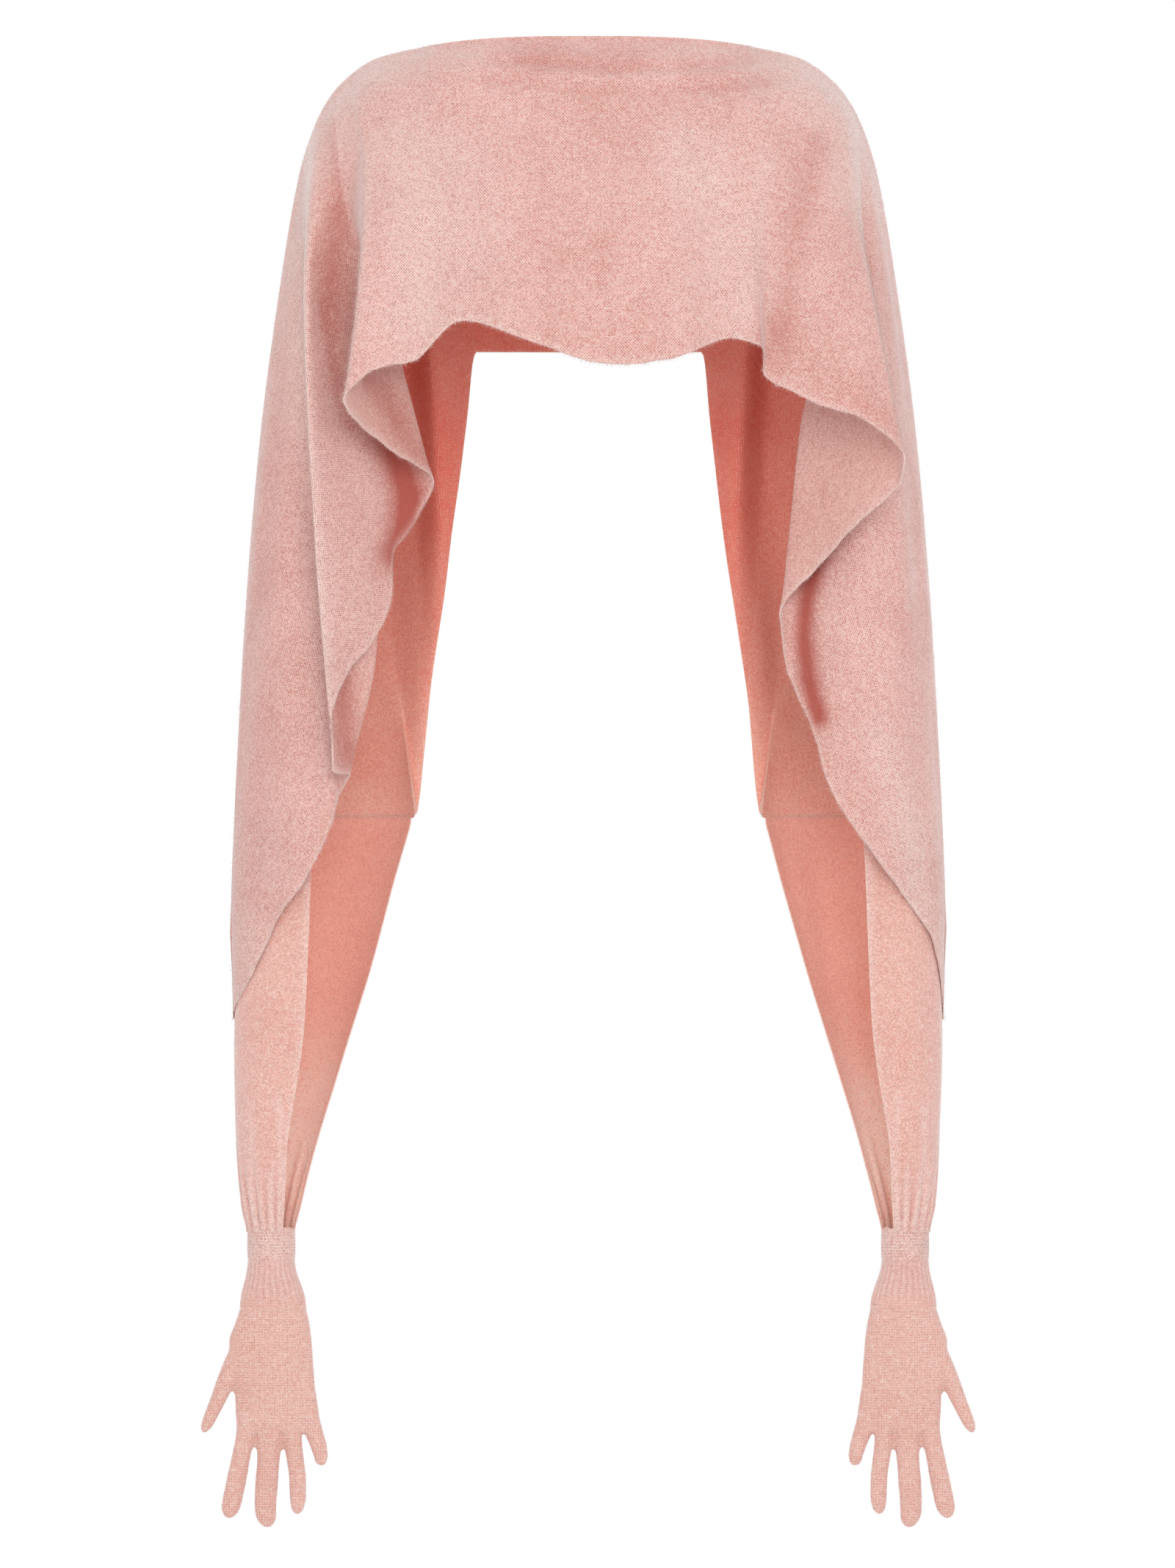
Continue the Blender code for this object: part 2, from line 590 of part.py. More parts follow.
def rib(side, word):
    """The ribbed wrist: ribs raised on the outside of a plain wall."""
    levels = [CUFF_FOOT + SEAM_GAP / 2, RIB_MIDDLE, RIB_FOOT]
    foot = palm_ring(PALM_LEVELS[0])
    foot_half = (np.ptp(foot[:, 0]) / 2, np.ptp(foot[:, 1]) / 2)
    foot_centre = (foot[:, 0].max() + foot[:, 0].min()) / 2
    share = smooth_step(levels, CUFF_FOOT, RIB_FOOT)
    outer = []
    inner = []
    for level, s in zip(levels, share):
        half = np.array(CUFF_HALF) * (1 - s) + np.array(foot_half) * s
        centre = CUFF_CENTRE * (1 - s) + foot_centre * s
        ring = ellipse(centre, half - RIB_HEIGHT, level, 2 * RIBS)
        raised = ellipse(centre, half, level, 2 * RIBS)
        ring[::2] = raised[::2]
        outer.append(ring)
        inner.append(ellipse(centre, half - RIB_HEIGHT - RIB_WALL, level, 2 * RIBS))
    rings = np.array([*outer, *inner[::-1]])
    grid = to_metres(rings.transpose(1, 0, 2), side)
    count = len(rings)
    faces = grid_faces(2 * RIBS, count, True, side < 0)
    for c in range(2 * RIBS):
        following = (c + 1) % (2 * RIBS)
        rim = [
            c * count + count - 1,
            following * count + count - 1,
            following * count,
            c * count,
        ]
        faces.append(rim[::-1] if side < 0 else rim)
    return add_object(f"glove_{word}_rib", grid.reshape(-1, 3), faces, "rib")


def palm(side, word):
    """The hand of a glove, open at the wrist, at the thumb and at the fingers."""
    foot = root_ring()
    straight = foot - np.array([0.0, 0.0, SEAM_STRAIGHT])
    rings = np.array([*[palm_ring(level) for level in PALM_LEVELS], straight, foot])
    grid = to_metres(rings.transpose(1, 0, 2), side)
    columns, rows = grid.shape[:2]
    thumb_side = columns - 1
    faces = []
    for face in grid_faces(columns, rows, True, side < 0):
        column = {v // rows for v in face}
        level = min(v % rows for v in face)
        if thumb_side in column and THUMB_LEVEL <= level < THUMB_LEVEL + 2:
            continue
        faces.append(face)
    made = add_object(f"glove_{word}_palm", grid.reshape(-1, 3), faces, "glove")
    cleaned = bmesh.new()
    cleaned.from_mesh(made.data)
    loose = [v for v in cleaned.verts if not v.link_faces]
    bmesh.ops.delete(cleaned, geom=loose, context="VERTS")
    cleaned.to_mesh(made.data)
    cleaned.free()
    return add_wall(made, GLOVE_WALL)


def finger_ring(ring, lean=0.0):
    """Eight points round a finger, square to its length where it leans."""
    angles = np.radians(np.arange(0, 360, 45) + 45.0)
    across = ring.wide * np.cos(angles)
    return np.stack(
        [
            ring.out + across * math.cos(lean),
            ring.thick * np.sin(angles),
            ring.down - across * math.sin(lean),
        ],
        -1,
    )


def closed_tube(rings, tip, name, side, cloth, wall):
    """A tube of rings that ends in a closed tip."""
    grid = to_metres(np.array(rings).transpose(1, 0, 2), side)
    columns, rows = grid.shape[:2]
    verts = [*grid.reshape(-1, 3), to_metres(tip, side)]
    faces = grid_faces(columns, rows, True, side < 0)
    for c in range(columns):
        cap = [c * rows + rows - 1, ((c + 1) % columns) * rows + rows - 1, len(verts) - 1]
        faces.append(cap[::-1] if side < 0 else cap)
    return add_wall(add_object(name, verts, faces, cloth), wall)


def fingers(side, word):
    """Four finger tubes, each from its own stretch of the foot of the palm."""
    foot = root_ring()
    for k, (name, rings) in enumerate(FINGERS.items()):
        first, last = FINGER_ROOTS[k], FINGER_ROOTS[k + 1]
        middle = (first + last) / 2
        front = foot[2 * k : 2 * k + 3]
        back = front[::-1] * np.array([1.0, -1.0, 1.0])
        inner_side = np.array([[last, 0.0, ROOT_DOWN]])
        outer_side = np.array([[first, 0.0, ROOT_DOWN]])
        root = np.concatenate([front, inner_side, back, outer_side])
        root[:, 2] += SEAM_GAP
        root[:, 0] += np.sign(middle - root[:, 0]) * FINGER_SHRINK
        start = root.copy()
        start[:, 2] += SEAM_STRAIGHT
        tip = rings[-1]
        closed_tube(
            [root, start, *[finger_ring(r) for r in rings]],
            (tip.out, 0.0, tip.down + TIP_LENGTH),
            f"glove_{word}_{name}",
            side,
            "glove",
            GLOVE_WALL,
        )


def thumb(side, word):
    """The thumb, from the opening in the side of the palm."""
    levels = [palm_ring(level) for level in PALM_LEVELS[THUMB_LEVEL : THUMB_LEVEL + 3]]
    front, side_point, back = 0, -1, -2
    root = np.array(
        [
            levels[0][front],
            levels[1][front],
            levels[2][front],
            levels[2][side_point],
            levels[2][back],
            levels[1][back],
            levels[0][back],
            levels[0][side_point],
        ]
    )
    to_middle = root.mean(axis=0) - root
    to_middle /= np.linalg.norm(to_middle, axis=1)[:, None]
    root += to_middle * np.array([0.0, THUMB_SHRINK, THUMB_SHRINK])
    root[:, 0] += THUMB_SHRINK
    rings = [finger_ring(r, THUMB_LEAN) for r in THUMB]
    last = THUMB[-1]
    tip = (
        last.out + TIP_LENGTH * math.sin(THUMB_LEAN),
        0.0,
        last.down + TIP_LENGTH * math.cos(THUMB_LEAN),
    )
    closed_tube([root, *rings], tip, f"glove_{word}_thumb", side, "glove", GLOVE_WALL)


def main():
    """Clears the scene and builds the garment."""
    for old in list(bpy.data.objects):
        bpy.data.objects.remove(old, do_unlink=True)
    collection = bpy.data.collections.new(GARMENT)
    bpy.context.scene.collection.children.link(collection)
    front()
    back()
    for side, word in ((1, "left"), (-1, "right")):
        sleeve(side, word)
        cuff(side, word)
        rib(side, word)
        palm(side, word)
        fingers(side, word)
        thumb(side, word)


main()
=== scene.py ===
"""Looks of a brushed knit cape with attached gloves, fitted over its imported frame.

Lengths in the tables are millimetres from the middle of the neck opening: out is away
from the centre plane, fore is towards the front, down is below the neck.
"""

import logging
import math
from dataclasses import dataclass
from enum import Enum
from typing import NamedTuple

import bmesh
import bpy
import numpy as np
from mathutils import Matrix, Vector

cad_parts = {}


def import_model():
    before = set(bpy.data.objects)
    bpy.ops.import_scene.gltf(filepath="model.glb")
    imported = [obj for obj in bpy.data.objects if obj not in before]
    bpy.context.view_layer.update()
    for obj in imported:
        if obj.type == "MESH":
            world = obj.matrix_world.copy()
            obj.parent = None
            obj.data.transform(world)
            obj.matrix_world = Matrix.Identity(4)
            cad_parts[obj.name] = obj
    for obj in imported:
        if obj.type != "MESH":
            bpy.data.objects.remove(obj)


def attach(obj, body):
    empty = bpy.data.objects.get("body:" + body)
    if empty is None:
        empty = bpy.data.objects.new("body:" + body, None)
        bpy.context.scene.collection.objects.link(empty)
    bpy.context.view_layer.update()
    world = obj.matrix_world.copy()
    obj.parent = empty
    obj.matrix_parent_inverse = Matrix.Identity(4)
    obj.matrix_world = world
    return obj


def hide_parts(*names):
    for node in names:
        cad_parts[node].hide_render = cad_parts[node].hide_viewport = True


logging.basicConfig(level=logging.INFO, format="%(message)s")
LOG = logging.getLogger("cape")

MM = 0.001
CM_PER_METRE = 100.0
TINY = 1e-12
FULL_TURN = 2 * math.pi
BODY = "root"

SEAM_GAP = 0.3
SEAM_STRAIGHT = 3.0
NECK_HALF_WIDTH = 125.0
NECK_HALF_DEPTH = 48.0
NECK_DROP = 6.6
CORNER_SPAN = (100.0, 117.0)

SLEEVE_TOP = 584.0
INNER_EDGE_DEG = -160.0
FRONT_OVER_SLEEVE = 4.1
OVER_SLEEVE_FROM = 544.0
LEAST_REACH = 0.2
MEET_SPAN = 110.0
GATHERS_FULL = 886.0
CUFF_TOP = 894.0
CUFF_FOOT = 914.0
CUFF_CENTRE = 237.3
CUFF_HALF = (18.4, 23.0)
RIB_FOOT = 950.0

# Half way from the over-arm line to the upper points, the shares of the way gone
# outwards, forwards and down: forwards comes first, so the cloth rounds the shoulder.
TURN_SHARES = (0.36, 0.60, 0.34)
# Where the turn, the upper and the lower points lie between the two ends of a fold.
FOLD_SHARES = (0.0, 1 / 6, 1 / 3, 2 / 3, 1.0)

FRONT_NODES = (
    "front_right_arm",
    "front_right_lower_fold",
    "front_right_fold",
    "front_middle",
    "front_left_fold",
    "front_left_arm",
)
BACK_NODES = ("back_right", "back_middle", "back_left")


class OverArm(NamedTuple):
    """A point of the line over the shoulder and down the arm, where front and back meet."""

    down: float
    out: float


OVER_ARM = [
    OverArm(*row)
    for row in (
        (6.6, 125.0), (9.4, 139.7), (14.9, 159.0), (25.9, 176.6), (42.4, 192.5), (64.4, 204.6),
        (102.9, 216.7), (190.9, 231.6), (300.9, 245.9), (432.9, 256.9), (564.9, 264.0),
        (652.9, 267.3), (740.9, 265.7), (828.9, 263.5), (872.9, 260.2), (894.9, 256.3),
    )
]


class Fold(NamedTuple):
    """A line of the cloth from its upper edge to its hem, with points (out, fore, down).

    top is how far along the neck and over-arm edge it starts, and cols is how many columns
    of the solids lead to it.
    """

    name: str
    cols: int
    top: float
    upper: tuple
    lower: tuple
    hem: tuple


FRONT_CENTRE = Fold("centre", 0, 0, (0, 90, 72), (0, 118, 158), (0, 127, 245))
FRONT_RIGHT = [
    Fold("rise", 2, 40, (41, 89, 71), (42, 114, 150), (42, 122, 230)),
    Fold("crest", 2, 82, (85, 86, 69), (90, 105, 138), (93, 104, 214)),
    Fold("swell", 2, 118, (120, 84, 78), (127, 114, 162), (129, 124, 244)),
    Fold("swell out", 2, 142, (143, 84, 86), (152, 124, 174), (160, 133, 252)),
    Fold("first ridge", 2, 174, (165, 82, 98), (171, 122, 192), (181, 129, 274)),
    Fold("turn", 2, 184, (172, 68, 100), (168, 98, 200), (170, 104, 291)),
    Fold("second layer", 2, 192, (178, 60, 104), (158, 74, 210), (142, 76, 313)),
    Fold("inner fold", 2, 202, (184, 56, 112), (146, 54, 224), (116, 56, 333)),
    Fold("third layer a", 2, 211, (192, 58, 130), (150, 44, 262), (133, 44, 369)),
    Fold("third layer b", 1, 219, (200, 63, 150), (166, 58, 300), (145, 49, 387)),
    Fold("third layer c", 1, 225, (204, 66, 160), (176, 66, 318), (147, 56, 422)),
    Fold("third layer d", 1, 230, (207, 69, 170), (190, 78, 338), (157, 63, 447)),
    Fold("third layer e", 1, 236, (210, 70, 180), (203, 88, 358), (180, 78, 477)),
    Fold("second ridge", 2, 243, (213, 68, 192), (208, 87, 372), (191, 88, 510)),
    Fold("ridge foot", 1, 247, (213, 65, 196), (204, 82, 380), (190, 84, 548)),
    Fold("fourth layer", 1, 256, (212, 58, 220), (184, 70, 405), (185, 72, 551)),
    Fold("lower inner fold", 2, 271, (208, 50, 255), (156, 56, 440), (178, 60, 552)),
    Fold("fifth layer a", 1, 297, (218, 44, 285), (176, 48, 455), (186, 54, 567)),
    Fold("fifth layer b", 2, 338, (226, 40, 320), (200, 56, 475), (190, 60, 584)),
    Fold("fifth layer c", 2, 398, (237, 34, 370), (219, 56, 505), (208, 60, 624)),
    Fold("fifth layer d", 2, 489, (248, 26, 440), (238, 44, 550), (233, 46, 660)),
    Fold("fifth layer e", 2, 619, (258, 14, 540), (255, 24, 620), (251, 28, 704)),
]
FRONT_LEFT = [
    Fold("dip", 1, 30, (30, 90, 72), (29, 119, 159), (27, 127, 247)),
    Fold("rise", 1, 58, (60, 88, 71), (61, 115, 157), (60, 123, 243)),
    Fold("crest", 2, 100, (101, 85, 74), (105, 103, 149), (106, 102, 227)),
    Fold("step", 2, 116, (117, 85, 77), (123, 105, 157), (129, 105, 236)),
    Fold("step foot", 1, 126, (126, 85, 80), (131, 113, 167), (130, 121, 253)),
    Fold("swell", 2, 144, (145, 84, 88), (155, 122, 180), (167, 130, 275)),
    Fold("swell out", 2, 172, (172, 80, 96), (187, 119, 194), (206, 126, 289)),
    Fold("ridge", 3, 199, (198, 66, 112), (215, 104, 210), (236, 113, 317)),
    Fold("turn", 1, 207, (202, 57, 118), (213, 86, 221), (232, 99, 334)),
    Fold("second layer a", 2, 215, (203, 51, 124), (200, 67, 241), (201, 80, 364)),
    Fold("second layer b", 2, 222, (203, 46, 132), (183, 58, 266), (170, 62, 398)),
    Fold("inner fold", 2, 231, (203, 43, 145), (159, 47, 290), (144, 49, 431)),
    Fold("third layer a", 2, 244, (208, 42, 170), (168, 40, 330), (148, 42, 471)),
    Fold("third layer b", 2, 267, (215, 46, 210), (185, 52, 375), (165, 54, 513)),
    Fold("third layer c", 2, 308, (225, 44, 270), (204, 60, 430), (181, 64, 563)),
    Fold("third layer d", 2, 368, (236, 38, 340), (222, 56, 485), (205, 60, 600)),
    Fold("third layer e", 2, 459, (247, 28, 420), (240, 44, 540), (232, 48, 636)),
    Fold("third layer f", 2, 589, (257, 16, 515), (255, 27, 600), (251, 28, 668)),
]
FRONT_SIDES = {-1: FRONT_RIGHT, 1: FRONT_LEFT}
BACK_CENTRE = Fold("centre", 0, 0, (0, -90, 76), (0, -103, 154), (0, -106, 232))
BACK_SIDE = [
    Fold("flat", 2, 45, (45, -88, 76), (45, -101, 154), (45, -105, 232)),
    Fold("corner", 3, 92, (89, -82, 79), (88, -97, 155), (85.5, -99, 232)),
    Fold("edge", 1, 116, (112, -76, 95), (104, -86, 190), (93, -84, 288)),
    Fold("ridge", 2, 138, (128, -66, 120), (116, -62, 262), (105, -64, 388)),
    Fold("hollow", 2, 162, (146, -72, 150), (134, -88, 320), (120, -48, 490)),
    Fold("edge foot", 2, 185, (168, -70, 185), (156, -86, 390), (131.5, -22, 584)),
    Fold("seam a", 2, 211, (190, -64, 215), (182, -78, 400), (152, -40, 584)),
    Fold("seam b", 2, 256, (212, -52, 260), (208, -62, 425), (190, -45, 584)),
    Fold("seam c", 2, 348, (233, -36, 325), (233, -42, 465), (225, -40, 584)),
    Fold("seam d", 2, 489, (251, -20, 430), (253, -22, 515), (252, -23, 584)),
]
# How far along the upper edge the last fold of a side starts and ends.
FRONT_SEAM_END = (860.0, 903.0)
BACK_SEAM_END = (700.0, 753.5)


class Section(NamedTuple):
    """A section of the sleeve: inner is its free back edge, slit its free front edge."""

    down: float
    inner: float
    slit: float
    depth: float


SLEEVE_SECTIONS = [
    Section(584.0, 131.5, 205.0, 45.0),
    Section(625.0, 143.0, 207.0, 45.0),
    Section(697.0, 163.0, 209.5, 42.0),
    Section(741.0, 176.6, 212.0, 39.0),
    Section(785.0, 190.0, 218.0, 35.0),
    Section(829.0, 203.5, 225.0, 30.0),
    Section(860.0, 211.6, 226.5, 26.5),
    Section(894.0, 219.5, 228.0, 23.0),
]


class Level(NamedTuple):
    """A level of the palm: inner and outer are its sides, thick is half its thickness."""

    down: float
    inner: float
    outer: float
    thick: float


PALM_LEVELS = [
    Level(950.3, 211.5, 260.5, 14.5),
    Level(962.0, 208.8, 264.5, 13.5),
    Level(976.0, 207.0, 269.0, 13.0),
    Level(992.0, 205.8, 269.0, 12.3),
    Level(1009.0, 204.6, 265.0, 11.4),
    Level(1021.0, 202.8, 264.3, 10.0),
]
KNUCKLE_LEVELS = [Level(1035.0, 201.2, 263.8, 8.6), Level(1043.0, 203.5, 262.0, 6.4)]
PALM_ROUNDNESS = 2.5
PALM_MIDDLE = 232.0


class Ring(NamedTuple):
    """A ring round a finger: its centre, half width and half thickness."""

    out: float
    down: float
    wide: float
    thick: float


FINGERS = {
    "index": [
        Ring(255.5, 1033.0, 7.6, 7.4),
        Ring(256.7, 1046.0, 7.3, 7.0),
        Ring(260.0, 1062.0, 7.2, 6.6),
        Ring(263.5, 1080.0, 7.7, 6.5),
        Ring(267.0, 1097.0, 7.6, 6.0),
        Ring(268.6, 1106.0, 4.8, 4.0),
    ],
    "middle": [
        Ring(239.4, 1033.0, 9.0, 7.4),
        Ring(238.9, 1047.0, 9.5, 7.4),
        Ring(239.5, 1064.0, 8.6, 7.0),
        Ring(241.0, 1084.0, 8.7, 6.8),
        Ring(241.8, 1103.0, 8.2, 6.3),
        Ring(240.6, 1113.0, 5.0, 4.2),
    ],
    "ring": [
        Ring(222.0, 1033.0, 7.6, 7.4),
        Ring(221.4, 1046.0, 6.8, 6.6),
        Ring(219.9, 1061.0, 6.7, 6.4),
        Ring(217.8, 1077.0, 6.5, 6.2),
        Ring(217.4, 1094.0, 6.1, 5.6),
        Ring(217.8, 1103.0, 3.9, 3.6),
    ],
    "little": [
        Ring(208.0, 1033.0, 6.9, 7.4),
        Ring(205.4, 1044.0, 7.2, 6.4),
        Ring(201.8, 1055.0, 6.4, 5.8),
        Ring(200.2, 1063.0, 5.2, 5.0),
        Ring(199.8, 1068.0, 3.2, 3.2),
    ],
}
THUMB = [
    Ring(256.0, 972.0, 7.0, 9.0),
    Ring(263.5, 990.0, 8.4, 8.6),
    Ring(271.5, 1006.0, 7.0, 7.0),
    Ring(277.5, 1020.0, 5.9, 5.9),
    Ring(283.3, 1033.0, 5.0, 5.0),
    Ring(287.2, 1041.5, 3.4, 3.4),
]
THUMB_LEAN = math.radians(24)


class Crease(NamedTuple):
    """A soft trough, or a ridge where depth is below 0, along a line in the front view."""

    path: list
    depth: float
    width: float


FRONT_CREASES = [
    Crease([(-72, 18), (-29, 22), (21, 26), (72, 24), (123, 18)], 2.2, 5.0),
    Crease([(-76, 33), (-21, 39), (38, 43), (97, 39), (148, 31)], 2.6, 6.0),
    Crease([(-30, 31), (10, 34), (60, 33)], -1.2, 6.0),
    Crease([(-40, 52), (10, 58), (70, 54)], 1.2, 8.0),
    Crease([(-118, 70), (-104, 130), (-96, 190)], 0.9, 12.0),
    Crease([(-66, 70), (-72, 130), (-66, 215)], -1.0, 13.0),
    Crease([(-34, 85), (-38, 150), (-28, 235)], 1.2, 11.0),
    Crease([(24, 75), (14, 150), (10, 240)], 0.9, 14.0),
    Crease([(62, 70), (70, 130), (66, 225)], -1.1, 12.0),
    Crease([(174, 76), (160, 125), (147, 180), (138, 236)], 1.6, 8.0),
    Crease([(-158, 60), (-176, 100), (-188, 160), (-196, 215)], 1.3, 8.0),
    Crease([(-196, 70), (-222, 120), (-232, 200), (-238, 290)], 1.0, 8.0),
    Crease([(-228, 240), (-238, 330), (-243, 420)], 0.9, 8.0),
    Crease([(220, 120), (236, 230), (244, 330), (250, 420)], 1.1, 9.0),
    Crease([(-236, 470), (-246, 560), (-250, 640)], 0.9, 7.0),
    Crease([(236, 440), (246, 540), (251, 620)], 0.9, 7.0),
]
BACK_CREASES = [
    Crease([(-120, 16), (-60, 30), (0, 34), (66, 29), (118, 15)], 1.6, 8.0),
    Crease([(-92, 46), (-40, 62), (10, 66), (82, 52)], 1.3, 10.0),
    Crease([(-78, 80), (-84, 150), (-80, 225)], 1.6, 12.0),
    Crease([(-30, 90), (-24, 160), (-32, 225)], -1.0, 12.0),
    Crease([(12, 95), (18, 160), (12, 225)], 1.3, 11.0),
    Crease([(58, 80), (66, 150), (60, 225)], -1.1, 14.0),
    Crease([(-158, 60), (-172, 160), (-176, 280), (-170, 420)], 1.5, 11.0),
    Crease([(158, 62), (174, 170), (172, 300), (166, 430)], 1.6, 12.0),
    Crease([(-205, 120), (-222, 240), (-228, 380)], 1.1, 9.0),
    Crease([(206, 110), (224, 230), (226, 400)], 1.0, 10.0),
]


class Ridge(NamedTuple):
    """A fold of the front with a painted highlight on its nap: how pale it is and how far it reaches to
    each side.
    """

    side: int
    fold: str
    pale: float
    wide: float


RIDGES = [
    Ridge(-1, "first ridge", 0.35, 7.0),
    Ridge(-1, "second ridge", 0.6, 9.0),
    Ridge(1, "ridge", 0.3, 7.0),
]


class Shade(NamedTuple):
    """A painted shade, or a painted highlight where deep is below 0, along a line in the front view.

    It falls on the layers of one side from one fold to another, or on every layer where
    side is 0.
    """

    path: list
    deep: float
    wide: float
    side: int = 0
    first: str = ""
    last: str = ""


# Painted shade in hollows and valleys, painted highlight on ridges and lit slopes of the front.
SHADES = [
    Shade([(-46, 14), (-12, 20), (34, 18)], 0.25, 13.0),
    Shade([(-160, 24), (-196, 60), (-208, 95)], -0.3, 26.0),
    Shade([(160, 24), (196, 60), (212, 110)], -0.45, 28.0),
    Shade([(-132, 80), (-126, 150), (-128, 215)], -0.4, 30.0),
    Shade([(-92, 100), (-92, 150), (-88, 200)], -0.25, 26.0),
    Shade([(78, 90), (96, 150), (104, 200)], -0.4, 28.0),
    Shade([(-213, 83), (-216, 191), (-210, 346), (-192, 540)], -0.5, 8.0,
          -1, "lower inner fold", "fifth layer e"),
    Shade([(-212, 83), (-215, 191), (-208, 346), (-191, 540)], -0.5, 8.0,
          -1, "third layer d", "second ridge"),
    Shade([(180, 260), (174, 330), (188, 400)], 0.14, 20.0, 1, "inner fold", "third layer c"),
    Shade([(215, 520), (238, 590), (250, 650)], -0.4, 18.0, 1, "third layer c", "third layer f"),
    Shade([(-236, 330), (-244, 430), (-250, 560), (-252, 640)], 0.12, 22.0),
    Shade([(-158, 284), (-144, 312), (-134, 342), (-137, 368), (-143, 386)], 1.1, 14.0,
          -1, "inner fold", "third layer d"),
    Shade([(-184, 70), (-188, 150), (-196, 230), (-188, 285)], 0.42, 12.0,
          -1, "inner fold", "third layer c"),
    Shade([(-162, 258), (-142, 290), (-126, 320)], 0.45, 12.0, -1, "turn", "inner fold"),
    Shade([(-187, 470), (-181, 520), (-177, 548)], 0.5, 11.0, -1, "second ridge", "lower inner fold"),
    Shade([(172, 386), (163, 420), (161, 450), (164, 480), (172, 508)], 0.95, 8.5,
          1, "inner fold", "third layer d"),
    Shade([(140, 225), (163, 243), (190, 262), (222, 300)], 0.16, 20.0, 1, "step", "ridge"),
    Shade([(136, 250), (145, 205), (158, 140), (172, 85)], 0.15, 13.0, 1, "crest", "ridge"),
    Shade([(116, 218), (124, 150), (134, 90)], -0.25, 9.0, 1, "crest", "swell"),
]


class Gather(NamedTuple):
    """One pleat at the foot of a sleeve: where round it, how wide, how deep, and its top."""

    along: float
    wide: float
    deep: float
    start: float


GATHERS_IN = {
    "left": [
        Gather(0.03, 0.016, 2.0, 835), Gather(0.10, 0.022, 3.2, 800), Gather(0.19, 0.016, 2.2, 828),
        Gather(0.27, 0.024, 3.4, 790), Gather(0.37, 0.015, 2.0, 842), Gather(0.45, 0.022, 3.0, 806),
        Gather(0.545, 0.016, 2.4, 825), Gather(0.63, 0.022, 3.4, 792), Gather(0.715, 0.014, 2.0, 848),
        Gather(0.79, 0.019, 3.0, 812), Gather(0.865, 0.014, 2.4, 830), Gather(0.935, 0.014, 2.2, 820),
    ],
    "right": [
        Gather(0.04, 0.018, 2.4, 826), Gather(0.12, 0.020, 3.0, 806), Gather(0.205, 0.015, 2.0, 838),
        Gather(0.29, 0.023, 3.3, 794), Gather(0.385, 0.016, 2.3, 830), Gather(0.47, 0.021, 3.0, 802),
        Gather(0.56, 0.015, 2.0, 844), Gather(0.635, 0.021, 3.2, 798), Gather(0.72, 0.018, 2.8, 822),
        Gather(0.80, 0.017, 3.2, 806), Gather(0.87, 0.013, 2.2, 836), Gather(0.94, 0.013, 2.4, 818),
    ],
}
# Painted highlights on the ridges of the cloth above the band, drawn on the left sleeve.
WRIST_RIDGE_HIGHLIGHTS = [
    Shade([(252, 800), (251, 850), (247, 892)], -0.4, 2.6),
    Shade([(238, 850), (236, 895)], -0.35, 1.8),
    Shade([(231, 790), (230, 850), (232, 892)], -0.45, 2.4),
]


class Slot(Enum):
    """The record's material slots."""

    FRONT = "brushed knit front"
    BACK = "knit back"
    SLEEVE = "open knit sleeve"
    BAND = "wrist band"
    RIB = "ribbed wrist"
    GLOVE = "glove knit"


class Stitch(Enum):
    """How the yarn shows."""

    PITS = "staggered gaps"
    CHEVRON = "upright v stitches"


@dataclass(frozen=True)
class Knit:
    """The colours, in linear light, and the stitches of a cloth face.

    face is the yarn, deep the colour of painted shade and of dark specks, pit the gaps
    between stitches, pale the brushed nap and painted highlights, and foot the yarn near
    the hem or the wrist. pitch is the width of a stitch in millimetres, and course its
    height as a share of that.
    """

    name: str
    face: tuple
    deep: tuple
    pit: tuple
    pale: tuple
    foot: tuple = (0.80, 0.50, 0.44)
    pitch: float = 2.1
    course: float = 1.0
    pits: float = 0.8
    wisps: float = 0.35
    grain: float = 0.7
    relief: float = 0.6
    sheen: float = 0.9
    through: float = 0.25
    stitch: Stitch = Stitch.PITS


# The colour of the brushed nap and of painted highlights.
PALE = (0.88, 0.68, 0.63)
BROWN = (0.28, 0.072, 0.055)
# Painted light: light from behind shining through the gaps of an inner face.
PAINTED_BACKLIGHT = (1.0, 0.60, 0.48)
BRUSHED = Knit("brushed yarn", (0.81, 0.51, 0.46), (0.46, 0.115, 0.09), BROWN, PALE,
               course=1.15, pits=1.0, grain=0.85)
# Inner faces: copies of the outer knits with deeper, warmer colours for painted shade, and on the back and
# sleeves for painted light that comes through the cloth.
BRUSHED_INSIDE = Knit("brushed yarn inside", (0.80, 0.47, 0.415), (0.42, 0.085, 0.065), BROWN, PALE,
                      pits=0.7, wisps=0.25, sheen=0.3, through=0.1)
BACK_OUT = Knit("back yarn", (0.79, 0.475, 0.425), (0.74, 0.40, 0.35), BROWN, PALE, pits=1.0)
BACK_INSIDE = Knit("back yarn inside", (0.82, 0.45, 0.36), (0.76, 0.165, 0.12), PAINTED_BACKLIGHT, PAINTED_BACKLIGHT,
                   foot=(0.84, 0.50, 0.41), pitch=2.4, pits=1.0, wisps=0.1, grain=1.0, sheen=0.05)
SHEER = Knit("sheer yarn", (0.82, 0.50, 0.435), (0.6, 0.28, 0.23), BROWN, PALE,
             pits=0.75, grain=1.1, through=0.5)
# Its bright foot is painted light on the sleeve's inner face towards the wrist.
SHEER_INSIDE = Knit("sheer yarn inside", (0.83, 0.485, 0.41), (0.7, 0.27, 0.21), PAINTED_BACKLIGHT, PAINTED_BACKLIGHT,
                    foot=(1.0, 0.86, 0.81), pitch=2.2, pits=1.0, grain=1.0, wisps=0.15,
                    sheen=0.1, through=0.4)
